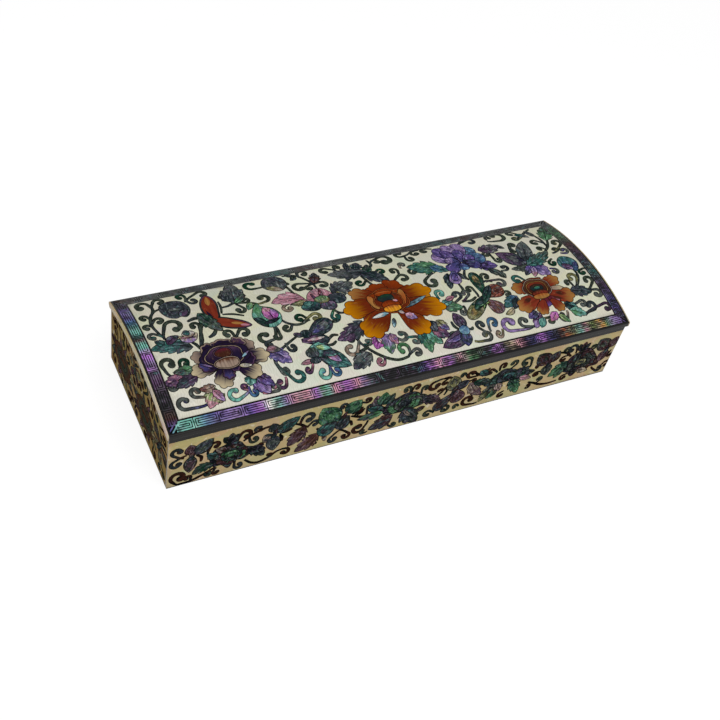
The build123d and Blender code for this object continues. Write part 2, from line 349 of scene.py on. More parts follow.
def fill(d, x0, x1, y0, y1, least, tones, keep=lambda x, y: True, largest=2.6):
    """More curls in the open ground: each springs from what is nearest, in the widest gap left."""
    step, stray, margin, batch = 1.3, 0.4, 1.5, 400
    marks = np.array([p for _, outline, *_ in d.pieces for p in outline])
    columns, rows = (np.arange(low + margin, high - 1.4, step) for low, high in ((x0, x1), (y0, y1)))
    spots = np.array([
        (x + d.random.uniform(-stray, stray), y + d.random.uniform(-stray, stray))
        for x in columns for y in rows if keep(x, y)
    ])
    edge = np.minimum.reduce([spots[:, 0] - x0, x1 - spots[:, 0], spots[:, 1] - y0, y1 - spots[:, 1]])
    edge = edge * 0.98 + 0.5
    room = np.full(len(spots), 1e9)
    nearest = np.zeros((len(spots), 2))

    def meet(new):
        for i in range(0, len(new), batch):
            part = new[i:i + batch]
            away = np.hypot(spots[:, :1] - part[:, 0], spots[:, 1:] - part[:, 1])
            best = away.argmin(axis=1)
            close = away[np.arange(len(spots)), best]
            closer = close < room
            room[closer] = close[closer]
            nearest[closer] = part[best[closer]]

    meet(marks)
    while True:
        free = np.minimum(room, edge)
        at = int(free.argmax())
        if free[at] < least:
            return
        radius = min(largest, free[at] * 0.6)
        before = len(d.pieces)
        sweep = d.random.choice((1, -1)) * d.random.uniform(225, 265)
        x, y = spots[at]
        d.crook(*nearest[at], x, y, radius, sweep, d.random.choice(tones))
        meet(np.array([p for _, outline, *_ in d.pieces[before:] for p in outline]))
        room[at] = 0


def turned(x, y, angle, size):
    """Points given about a motif's middle, as shares of its size, put in the drawing."""
    c, s = cos(radians(angle)) * size, sin(radians(angle)) * size
    return lambda u, v: (x + u * c - v * s, y + u * s + v * c)


def flutter(d, x, y, size, angle, upper, lower, body=("deep", "moss")):
    """A butterfly seen from above, its head at the given angle."""
    at = turned(x, y, angle, size)
    for side in (1, -1):
        for u, v in ((0.42, 0.22), (0.5, 0.42)):
            d.stem([at(0.2, 0), at(0.36, side * v * 0.4), at(u + 0.06, side * v)], width=0.5)
    for side in (1, -1):
        d.wing(*at(-0.05, side * 0.02), *at(-0.52, side * 0.44), size * 0.3, lower, (lower[1], upper[0]))
        d.wing(*at(0.08, side * 0.03), *at(0.14, side * 0.66), size * 0.36, upper, (upper[1], lower[0]))
    d.leaf(*at(-0.36, 0), *at(0.26, 0), size * 0.15, body, level=3, vein=False)


def bloom(d, x, y, wide, tall, outer, inner, leaves, heart):
    """A peony seen half from the side, between its leaves."""
    for angle, reach, width, teeth in (
        (172, 0.62, 0.22, 5), (8, 0.62, 0.22, 5), (205, 0.6, 0.22, 4), (-25, 0.6, 0.22, 4),
        (150, 0.5, 0.16, 3), (30, 0.5, 0.16, 3), (250, 0.62, 0.2, 4), (-68, 0.6, 0.2, 4),
        (100, 0.62, 0.16, 3), (72, 0.6, 0.14, 3),
    ):
        c, s = cos(radians(angle)), sin(radians(angle))
        root = (x + 0.12 * wide * c, y + 0.12 * tall * s)
        tip = (x + reach * wide * c * 0.9, y + reach * tall * s * 0.95)
        d.leaf(*root, *tip, width * tall, d.random.choice(leaves), teeth, d.random.uniform(-0.06, 0.06))
    for angle in (90, 50, 130, 15, 165, -20, 200, -55, 235, -90):
        c, s = cos(radians(angle)), sin(radians(angle))
        tip = (x + 0.36 * wide * c, y + 0.36 * tall * s)
        d.petals(((x, y, *tip, 0.3 * tall, inner, d.random.choice(outer)),))
    d.dot(x, y + 0.02 * tall, 0.34 * wide, 0.36 * tall, (inner, outer[0]), lobes=5)
    d.dot(x, y + 0.04 * tall, 0.24 * wide, 0.24 * tall, heart, lobes=4)
    d.dot(x, y - 0.04 * tall, 0.16 * wide, 0.1 * tall, (heart[1], outer[1]), lobes=2)


# The lid's field. Distances are from the middle of the lid, in millimetres

SLATE, MOSS, GREY, TEAL = ("slate", "moss"), ("moss", "forest"), ("grey", "slate"), ("teal", "grey")
VIOLET, ROSE, BLUE, OLIVE = ("violet", "blue"), ("rose", "plum"), ("blue", "aqua"), ("olive", "moss")
# Painted sheen: slate curls in the lid's front part take these paler tones, like the painted sheen on the
# ground there.
PALER_SLATE = ("slate", "grey")
FRONT_PART = -14

LID_CROOKS = (
    (-95.8, 24.5, -99.2, 28, 2.9, 215, SLATE, 1.5), (-95.6, 25.5, -91.7, 29.2, 2.3, -220),
    (-98.8, 18.2, -101, 19.8, 1.6, 235), (-99.2, 13, -101.6, 13.6, 1.5, 225),
    (-99.2, 14.5, -95.9, 16.4, 1.9, -235), (-97.4, 6.5, -101.2, 7.7, 1.8, 225, TEAL),
    (-97.2, 5, -91.4, 11.2, 3.8, -240, SLATE, 1.4), (-84.5, -2.5, -83.4, 9.2, 1.9, 225),
    (-80.6, 27, -82.2, 30, 1.8, 240, MOSS), (-81.5, 25.5, -73.3, 29, 2.4, -200),
    (-81, 27.5, -78.3, 25.3, 1.8, 220, GREY), (-70.2, -3, -72.2, 1, 1.9, 240), (-70, -3, -65.6, 0, 2.3, -240),
    (-101, -13.5, -100.1, -7.8, 2.8, -235, SLATE, 1.3), (-96, -12.5, -93.9, -8.8, 1.9, -230, MOSS),
    (-98.5, -17, -101.6, -18.8, 1.6, 230), (-90.5, -28.5, -99.8, -26.2, 2.7, -230, ("indigo", "grey"), 1),
    (-90, -25.5, -94.2, -22.9, 2.1, -240, ("tan", "grey")),
    (-73.5, -27, -79.6, -27.2, 2.8, -235, ("lilac", "aqua"), 1), (-73.5, -27, -75, -25.2, 1.1, -220, ROSE),
    (-73.4, -25.5, -72, -28.4, 1.5, 230, VIOLET), (-59, -16.5, -56.6, -22.6, 1.6, 240),
    (-59, -17.5, -52.2, -25.8, 2.8, 235, ("grey", "teal"), 1.1), (-57.6, -25.2, -60.2, -27.6, 2, -235, ROSE),
    (-54, -6.2, -58.4, -4.8, 2.8, -235, SLATE, 1.2), (-55, -7, -58.2, -8.8, 1.4, 230, GREY),
    (-62.4, 18.5, -57.8, 18.8, 1.7, 250), (-62.5, 17.3, -61.9, 13.2, 1.9, -230),
    (-63.5, 21.5, -65.8, 24, 1.5, 240), (-46.6, 25.9, -51.3, 28.5, 3, -230, MOSS, 1.2),
    (-53.6, 14.8, -50, 17.7, 2.5, 235, OLIVE), (-39.5, 11.4, -42.6, 8.3, 2.1, 235, ("moss", "tan")),
    (-37, -1.2, -40.3, 1.3, 2, 240, MOSS), (-40, -1.8, -33.3, 0.1, 2.2, -250, ("grey", "olive")),
    (-45, -1, -47.8, -2.6, 1.7, -240), (-52.2, 0, -53.4, -6, 1.5, -200),
    (-51.5, -10, -49.6, -12.9, 1.7, 230, GREY), (-38.2, -24.5, -41.3, -27.4, 2.5, -240, BLUE, 1.1),
    (-38, -25, -36, -27.8, 1.8, 240, VIOLET), (-21, -15.5, -26, -19.8, 2.8, -250, ("grey", "tan"), 1),
    (-22.5, -13.3, -24.2, -15, 1.3, -220, GREY), (-19.6, -18.8, -17.4, -18.2, 1.3, 230, TEAL),
    (-13.6, -26.6, -16, -28.2, 1.7, -240, ("plum", "rose")),
    (-2, -28, -3.9, -25, 2.6, 240, ("grey", "green"), 1.1), (-6.5, -16.5, -1.6, -18.8, 2.4, 240, TEAL, 1.1),
    (-25.6, 20.8, -32, 20.3, 2.8, 240, SLATE, 1.2), (-28.8, 27.6, -26.2, 30.2, 2.3, -240),
    (-24.6, 20.6, -21.4, 19.1, 2.1, -230), (-25.4, 20.8, -28.2, 18.6, 1.4, 225),
    (-10.6, 27, -16, 28.8, 2.2, 215), (-11, 27.4, -9.4, 30, 1.4, -240),
    (-24, 2, -25, -2, 1.9, 235, ("green", "teal")), (-3, -28.6, 1.7, -27.9, 1.7, -240),
    (6.2, 28, 14, 28.4, 3.5, -230, SLATE, 1.9), (8, 30.2, 9.9, 28.2, 1.3, -220),
    (27.4, 29.8, 22.8, 30.6, 2.2, -225), (33.5, 31.2, 30.4, 29.2, 2, 240), (38.5, 31, 35.4, 29.4, 1.4, 230),
    (4.6, 19.6, 7.8, 20.3, 1.7, -240, MOSS), (14, 14.6, 13.5, 18.7, 1.9, 235),
    (10, 11.4, 15.1, 12.7, 2.5, -240, SLATE, 1.1), (17.8, 19.6, 19.6, 22.2, 1.4, -235, ("tan", "grey")),
    (25.6, 18.6, 21.6, 15.6, 1.8, 230), (30.2, 11.9, 26.2, 6.2, 3.1, 265, SLATE, 1.5),
    (24.4, -4.5, 26.1, -1.4, 2, -245, ("teal", "aqua")), (29, -8.4, 33.1, -4.4, 2.2, 240, GREY),
    (33.2, -10.8, 31.4, -14.2, 1.4, -230), (34, -8.4, 37.6, -4.4, 1.8, 235, ("plum", "grey")),
    (42.8, -8, 41, -2.6, 1.6, 225), (37.6, -26.4, 35.9, -22.2, 1.9, -240, GREY),
    (39.2, -26.4, 42.2, -22.4, 2.3, -240, ("grey", "blue")),
    (29.5, -29, 36.4, -27.9, 2.2, 235, ("olive", "grey")),
    (45, -26.5, 42.6, -28.4, 1.6, -235, ("olive", "tan")),
    (61, -28.6, 49.5, -25, 3.5, -240, ("slate", "lilac"), 1.7), (0.2, -20.4, 3.5, -22.4, 1.8, -235, TEAL),
    (50, -0.5, 52.5, 3, 1.9, -235), (52, 28, 61.4, 30, 2.3, -225, GREY),
    (69.5, 27.5, 76.2, 29.8, 3.9, 245, SLATE, 1.2), (70, 28.5, 71.4, 30.2, 1.3, -200),
    (88.5, 27, 84.2, 30.2, 1.8, 235), (88.8, 26.5, 84, 25.4, 1.5, -225, OLIVE),
    (94.8, 17.5, 91, 19.2, 1.9, 235), (93.2, 12, 90.4, 13.9, 1.3, 230), (75.4, 15.8, 78.8, 20.6, 1.6, -235),
    (76.4, 18.5, 76, 15.8, 1.1, -225), (66, 19.6, 62.3, 17.4, 1.6, 230), (64.6, 19, 65.4, 11.8, 1.6, 230),
    (97, 10.4, 101.2, 15.8, 2.4, 240, OLIVE), (94.5, 9, 97.4, 11.2, 1.4, 240),
    (98.6, 8, 101.2, 9.2, 2, 240, ("violet", "grey")), (91.6, 5.4, 90.2, 2.6, 1.8, 240, MOSS),
    (86.5, -0.5, 88.2, -2.6, 1.6, -240, ("violet", "grey")),
    (93, -13.8, 94, -8.4, 2.5, 245, ("grey", "olive"), 1.1), (91.8, -14.4, 90, -10.8, 1.4, 225),
    (104, -4.6, 101.2, -6.6, 1.6, 230, MOSS), (98, -17, 101, -11.8, 2.4, 245, SLATE, 1),
    (97.5, -17.4, 101.6, -19.8, 2.2, -240), (85, -23.8, 91, -23.2, 1.7, -240),
    (85.5, -28, 94.4, -25.2, 2.4, 245, GREY), (89, -29.2, 102.2, -27.6, 2.1, -225, ("slate", "plum")),
    (62, -28.6, 57, -25.5, 2.4, -240, SLATE, 1.1), (66.5, -26.5, 70.6, -27.8, 1.6, -240, OLIVE),
    (81, -25, 77.8, -27.4, 2.1, -240, ("tan", "grey")),
    (70.4, -5.6, 66.5, -2.8, 2.3, 245, ("grey", "teal")),
    (51, -0.4, 57.6, -2.8, 2.3, -245, ("plum", "grey")), (53.5, -9, 57.2, -9.6, 1.5, -220),
    (86, -12.5, 84.5, -13.4, 1.2, -200, OLIVE), (-69, -29.5, -63, -28.6, 1.5, 235, ("rose", "grey")),
    (-84, -26, -86.2, -27.8, 1.2, -220, ("lime", "tan")), (-44.5, -22, -47.2, -24.6, 1.3, -225, ROSE),
    (-34, 12, -36.5, 24.5, 1.2, -200),
)

LID_STEMS = (
    ((-96.5, 4), (-98.6, 10), (-99.4, 15), (-98, 20), (-95.6, 23), (-92.4, 24.2)),
    ((-97.6, 20.5), (-95.8, 24), (-95.6, 28)), ((-85, -3), (-83, 3), (-80.8, 8), (-78, 10.6)),
    ((-88, 1), (-86.4, -1), (-85.4, -4)), ((-69, 17), (-66, 17.2), (-62.4, 18.4), (-57, 16.8), (-54, 15.2)),
    ((-48.8, 4), (-47, 0.6), (-44, -1.6), (-40.6, -1.9), (-37.4, -0.6)),
    ((-22.4, -12.6), (-20.8, -18), (-17.4, -23), (-13, -27), (-8, -29.2), (-3, -28.8)),
    ((-25.2, 17.6), (-25.6, 22), (-28.2, 27.4), (-31, 30.4), (-35.4, 31)),
    ((-10, 18.2), (-7, 20), (-3, 20.6), (0, 21.5)), ((0, 11), (-1.4, 15), (-2.4, 19.4)),
    ((4, 24), (6.4, 27), (6.2, 31)), ((27, 29.4), (31, 31.8), (36, 31.8), (40, 30.2)),
    ((54, 29.2), (57, 31.4), (60, 31.6)), ((88.8, 9.4), (93, 12.2), (96.2, 15.4), (98.8, 20)),
    ((95, 14.8), (95.4, 20), (94.4, 26)), ((85, 25.4), (88.8, 26.8), (92.4, 29.2), (96, 31.2)),
    ((75.2, 15.4), (77, 19.4), (79.4, 22)), ((-52.4, 1), (-53, -3), (-54.6, -6.6), (-57, -7.2)),
    ((37.8, 2), (38, -1.5), (37.4, -4)), ((34, -8.6), (38.4, -9), (41.6, -7.6)),
    ((97.6, -3), (98, -7), (95.6, -11.6), (92.4, -14.4)), ((-20.8, -0.8), (-23, 0), (-24.2, 2.4)),
    ((-26, -22.4), (-20, -21), (-18.4, -20.4)), ((45.6, 9.8), (43.4, 6), (43.8, 3)),
)

LID_LEAVES = (
    (-88, -2, -104.2, 0.8, 7.6, ("slate", "teal"), 5, -0.1),
    (-97, 2, -91.5, 5.6, 3.6, ("plum", "slate"), 0, 0.1), (-98.2, 2.4, -101.2, 5, 3, ("teal", "slate"), 3),
    (-92.5, -13, -105, -16.8, 6.6, ("rose", "plum"), 4, 0.08),
    (-91.5, -11.6, -99.4, -12.4, 4.4, ("green", "moss"), 3, 0.08),
    (-91, -15.6, -100.4, -19.2, 5, ("plum", "slate"), 4),
    (-60.5, -12.2, -52.4, -19.4, 6.6, ("indigo", "lilac"), 4, 0.08),
    (-60.5, -11.4, -54.6, -12.6, 3.4, ("rose", "grey"), 0, 0.1),
    (-87, -22.2, -91, -30.6, 5.8, ("lime", "pink"), 4, 0.06),
    (-86, -22, -92.4, -22, 3.4, ("tan", "brown"), 3, 0.1),
    (-87.5, -23.5, -84.4, -29, 3, ("rose", "lilac"), 3),
    (-70.6, -21.6, -65.8, -30.2, 7, ("violet", "lilac"), 4, 0.04),
    (-71, -21.5, -72.6, -25.2, 4.2, ("teal", "aqua"), 3),
    (-69, -21.6, -63.2, -27.6, 4.2, ("plum", "violet"), 3, 0.05),
    (-63, 19.6, -65.4, 27.6, 4.4, ("slate", "grey"), 3, 0.06),
    (-62.6, 18, -59.6, 33, 9.2, ("slate", "grey"), 3, -0.02),
    (-62.4, 18.4, -56.6, 23.4, 2.8, ("green", "moss"), 0, -0.06),
    (-33, 10.6, -47.8, 13.4, 8.2, ("rose", "pink"), 4, -0.16),
    (-33.6, 10.8, -40.4, 10.2, 3, ("olive", "moss"), 3, 0.1),
    (-24.6, 21.4, -21.2, 29, 4.6, ("umber", "slate"), 4, -0.04),
    (-31.6, 29, -33.6, 33, 2.6, ("slate", "grey")),
    (-30.6, 29.4, -33.2, 26.4, 2.4, ("moss", "slate"), 0, 0.1),
    (-20.2, 11.8, -8.4, 16.8, 8.4, ("slate", "grey"), 5, 0.06),
    (-19.2, 11.6, -15, 9.6, 3.4, ("olive", "grey"), 3),
    (1, 23, -16.2, 25.2, 8.2, ("slate", "grey"), 5, 0.04), (-6, 26, -4, 32.6, 2.6, ("slate", "deep")),
    (-2, 25.5, 0.6, 30.6, 5, ("deep", "slate"), 3), (-1.5, 22.4, 8.2, 12.8, 7.4, ("deep", "slate"), 4),
    (1.6, 21.6, 4.4, 27.4, 3.8, ("forest", "moss"), 3),
    (-15.4, -7, -29.6, -14.2, 7.4, ("slate", "plum"), 5, 0.1),
    (-18.4, -23.6, -28.4, -28.6, 6.6, ("grey", "slate"), 4, -0.04),
    (-11, -16, -15.2, -22.2, 5.4, ("plum", "magenta"), 4),
    (-12.4, -17, -11.6, -20.4, 1.8, ("snow", "pink")), (15.4, -17.8, 17.8, -21.6, 2, ("snow", "pink")),
    (-8, -16.4, -9.8, -25.8, 5.6, ("lilac", "green"), 4),
    (-6.6, -16.6, -5, -22.2, 3.4, ("violet", "rose"), 3),
    (6.2, -19.2, 8, -29.4, 5.4, ("teal", "green"), 4, 0.1),
    (10, -19.5, 14.6, -26.6, 5.2, ("aqua", "green"), 3), (13, -18.8, 19.6, -24, 5.6, ("rose", "plum"), 4),
    (13.5, -14.6, 14.8, -20.6, 4.6, ("deep", "slate"), 3),
    (17, -15.2, 20.6, -21, 3.8, ("olive", "violet"), 3),
    (35.4, 15.8, 20.8, 19.4, 9.4, ("green", "teal"), 4, 0.04),
    (31, 16.5, 38.2, 11.4, 5, ("blue", "teal"), 3), (23.6, -8.4, 32.6, -11.6, 5.6, ("grey", "green"), 3),
    (24, -7.6, 29.8, -6.6, 3, ("aqua", "teal"), 3), (27, -6, 31.6, -4.6, 2.4, ("pink", "rose")),
    (60.4, 21.4, 72.4, 22.6, 7, ("plum", "grey"), 4, -0.06), (71, 22.4, 73.6, 19.4, 2.2, SLATE),
    (97.6, 19.2, 103.8, 31.2, 7, ("green", "moss"), 4, -0.04),
    (85.6, 28.4, 91.4, 24.2, 3, ("teal", "grey"), 0, 0.1), (94.4, 24, 92.6, 30.4, 2.6, ("grey", "slate")),
    (88.6, -15.6, 99.2, -18.2, 6, ("slate", "deep"), 4, 0.04),
    (82, -20.8, 87.2, -25.2, 5, ("deep", "teal"), 4), (83, -24.8, 90, -28.8, 4.4, ("green", "aqua"), 3),
    (67, -23, 61.4, -29.6, 4.6, ("plum", "lilac"), 4), (66, -22, 60.6, -24.4, 3.8, ("slate", "violet"), 3),
    (67.6, -25.6, 64.2, -30, 3.4, ("aqua", "teal")),
    (75.6, -24.4, 70.6, -28.2, 3.6, ("magenta", "rose"), 3), (76, -26, 80, -30.6, 2.6, ("lime", "green")),
    (61, -12, 52, -16.4, 5.2, ("blue", "teal"), 4), (61, -13, 56.2, -18.2, 3.6, ("deep", "slate"), 3),
    (56, -18, 50.6, -20, 2.4, ("sand", "olive"), 0, 0.1), (62, -0.5, 60.2, 6, 3, ("moss", "slate"), 3),
    (-28.2, -4.4, -24, -4, 1.6, MOSS),
)


def violet_peony(d):
    """The dark flower in the left part of the lid."""
    d.petals((
        (-80, -9, -90.6, -7.2, 6.4, "night", "tan"), (-74, -9, -64.2, -5.8, 6.6, "night", "tan"),
        (-79, -12, -92.8, -14.8, 6.8, "night", "sand"), (-74.4, -12, -60, -13.2, 7.2, "night", "sand"),
        (-75, -13.6, -66.4, -21.6, 7.6, "night", "sand"),
        (-78.4, -13.6, -83.2, -23.6, 7.6, "night", "sand"),
    ))
    d.rimmed((
        (-78.8, -8, -85.2, -3, 6.6, "night", "night"), (-73.6, -8, -68.2, -2.4, 6.6, "night", "plum"),
        (-76.8, -8, -77, -1, 9.2, "night", "night"),
    ), "tan")
    d.rimmed((
        (-79, -13, -89, -12, 6.6, "night", "indigo"), (-74, -12, -66, -13.6, 6.6, "night", "night"),
        (-77.4, -13, -79.4, -20.6, 5, "night", "indigo"), (-76.6, -13, -74.6, -17.6, 4, "night", "night"),
    ), "plum")
    d.dot(-77.4, -9.6, 20, 12, ("night", "night"), 7)
    d.rosette(-77.6, -9.6, 15.6, 10.4, "tan", ("night", "plum"), 5)
    d.rosette(-77.6, -8, 7.6, 5.4, "plum", ("umber", "wine"), 3)
    d.rosette(-77.6, -13.1, 10.4, 5.6, "tan", ("tan", "brown"), 3)
    d.leaves((
        (-71, -12, -67.4, -9.6, 1, ("sky", "lilac")), (-88.6, -10.8, -84, -13.6, 0.9, ("indigo", "lilac")),
        (-73.6, -15.6, -68.6, -16.6, 1.8, ("sand", "snow")),
    ), vein=False, level=3)


def amber_peony(d):
    """The large flower in the middle of the lid."""
    d.petals((
        (1, 2, 10.6, 11.8, 11, "brick", "rust"), (1, 2, -1, 12.4, 10.4, "brick", "rust"),
        (0, 2, -13.4, 10, 8.6, "brick", "ochre"), (2, 1.4, 23.2, 2.6, 11.4, "brick", "amber"),
        (0, 0, -20.4, -0.6, 11.4, "brick", "amber"), (2, -2.4, 25, -9, 11.6, "brick", "amber"),
        (3.4, -5.4, 11.2, -20.2, 10, "brick", "amber"), (-1, -3.4, -16.6, -15.4, 11.6, "brick", "amber"),
    ))
    d.leaves((
        (6.4, -5.2, 19.4, -0.8, 2, ("slate", "sky")), (-1.6, -5.8, -10.2, -7, 2, ("sky", "snow")),
        (-1, -9.4, -3, -14, 1.6, ("slate", "sky")),
    ), vein=False, level=3)
    d.rosette(1.6, 1, 18.8, 14.8, "copper", ("brick", "rust"), 6)
    d.dots((
        (-5.6, 1.4, 3.6, 8.6, ("ochre", "copper"), 0, 10),
        (8.6, 1.6, 3.2, 9.4, ("copper", "ochre"), 0, -14),
    ))
    d.rosette(1.6, 0.8, 13.4, 11, "copper", ("brick", "umber"), 5)
    d.dots((
        (1.2, 5.6, 8.6, 2.6, ("rust", "copper"), 2), (1, 2.4, 7.4, 4.6, ("deep", "forest"), 3),
        (1.4, -1.8, 8.6, 5, ("rust", "brick"), 2), (1.2, -4, 8.6, 3.4, ("honey", "copper"), 2),
        (4.4, 0.2, 2.2, 1.3, ("pink", "tan"), 0, -30),
    ))
    d.leaves((
        (3, -6.2, 5, -8, 1.6, ("snow", "pink")), (5, -8.4, 9.4, -11.8, 3.4, ("pink", "lilac"), 3),
    ), vein=False, level=3)


def small_peony(d):
    """The brown flower in the right part of the lid."""
    d.petals((
        (73, -10, 61, -7.4, 7, "maroon", "ochre"), (75, -10, 86.6, -6.4, 6.6, "maroon", "ochre"),
        (72, -14, 58.6, -19.4, 8, "maroon", "ochre"), (76, -14, 89.4, -18, 8.6, "maroon", "ochre"),
        (74, -15, 73.6, -20.8, 5, "wine", "violet"), (76, -16, 79.6, -20.6, 5, "wine", "rose"),
        (72.6, -17, 68.2, -24, 5.8, "maroon", "ochre"), (76.4, -17.6, 80, -24.2, 5.4, "maroon", "ochre"),
        (73.2, -9, 73, -3.8, 11, "brown", "russet"), (78, -11.4, 86, -12.6, 2.4, "tan", "sand"),
    ))
    for x0, y0, x1, y1, width in (
        (67, -14.6, 62, -16.6, 2.2), (80.6, -14.4, 86, -16.4, 2.4), (78.6, -16.6, 83.6, -19, 1.6),
    ):
        d.lay(blade((x0, y0), (x1, y1), width), "petal", ("umber", "maroon"), (x0, y0), (x1, y1), 3)
    d.rosette(73.2, -10, 14.4, 11, "tan", ("umber", "brown"), 5)
    d.rosette(73.2, -10, 10.8, 8, "ochre", ("umber", "maroon"), 4)
    d.dots((
        (73.2, -9.8, 6.4, 4, ("deep", "umber"), 3), (73.4, -9.8, 3.2, 1.4, ("teal", "green")),
        (73.2, -13, 8.6, 3.2, ("maroon", "umber"), 2), (73, -14.8, 8.8, 2.6, ("ochre", "copper"), 2),
    ))


def iris(d):
    """A flower of many narrow petals, with pale tips and dark lines between them, and its leaves and bud."""
    d.petals((
        (49, 17, 57.8, 25.6, 8, "slate", "blue"), (48.6, 14, 60.2, 17.8, 8.6, "indigo", "blue"),
        (48.6, 17, 53, 30.8, 7.4, "indigo", "lilac"), (46, 15.6, 37.4, 25.2, 9.6, "violet", "lilac"),
        (46.6, 16, 40.6, 29.6, 7.6, "indigo", "violet"), (47.6, 16, 46.6, 31.2, 6.4, "indigo", "lilac"),
        (47, 15.6, 43, 26.6, 5.4, "night", "violet"), (48.2, 15.4, 50, 25.4, 5, "indigo", "violet"),
        (46.4, 14, 41.6, 20, 5.6, "indigo", "lilac"), (49, 14, 54.6, 19.6, 5.4, "deep", "violet"),
        (46, 15.4, 38.6, 10.8, 6.6, "indigo", "violet"), (47.6, 14.6, 55.2, 11.4, 6.4, "night", "indigo"),
        (46.6, 14.6, 46.8, 9.8, 5, "indigo", "blue"),
    ), "abalone", 0)
    for x, y, tone in (
        (39.4, 24.6, "plum"), (41.6, 28, "lilac"), (44.4, 29.6, "grey"), (46.8, 30.4, "lilac"),
        (49.8, 29.4, "grey"), (52.6, 28.6, "lilac"), (56, 24, "sky"), (58, 18.6, "sky"),
    ):
        root_x, root_y = 46.4 + 0.3 * (x - 46.4), 15 + 0.3 * (y - 15)
        d.leaf(root_x, root_y, x, y, 1.5, ("indigo", tone), vein=False)
    for x0, y0, x1, y1 in (
        (40.6, 27.4, 43.6, 18.4), (43.6, 30.6, 45.4, 19.6), (48.2, 31, 47.6, 19.4), (50.6, 26.4, 48.8, 18),
        (54.4, 27.6, 50.6, 18.4), (57.6, 21, 51.4, 15.8), (38.4, 20.6, 42.6, 16.6),
    ):
        middle = ((x0 + x1) / 2 + 0.4, (y0 + y1) / 2)
        d.lay(stroke([(x0, y0), middle, (x1, y1)], (0.2, 0.7, 0.3)), "line", level=2)
    d.leaves((
        (52.6, 12, 62.6, 8.4, 7.4, ("night", "violet"), 4), (57, 7.6, 61.6, 0.8, 3.4, SLATE, 3),
        (36.4, 9.8, 32.8, 0, 4.2, ("deep", "slate"), 3), (40.2, 9.8, 42.8, 3.6, 2.6, ("deep", "slate")),
    ))
    d.petals((
        (39.8, 10.2, 37, 2.2, 5.6, "indigo", "lilac"), (39.4, 9, 37.4, 4, 2.8, "indigo", "violet"),
    ), "abalone", 0)


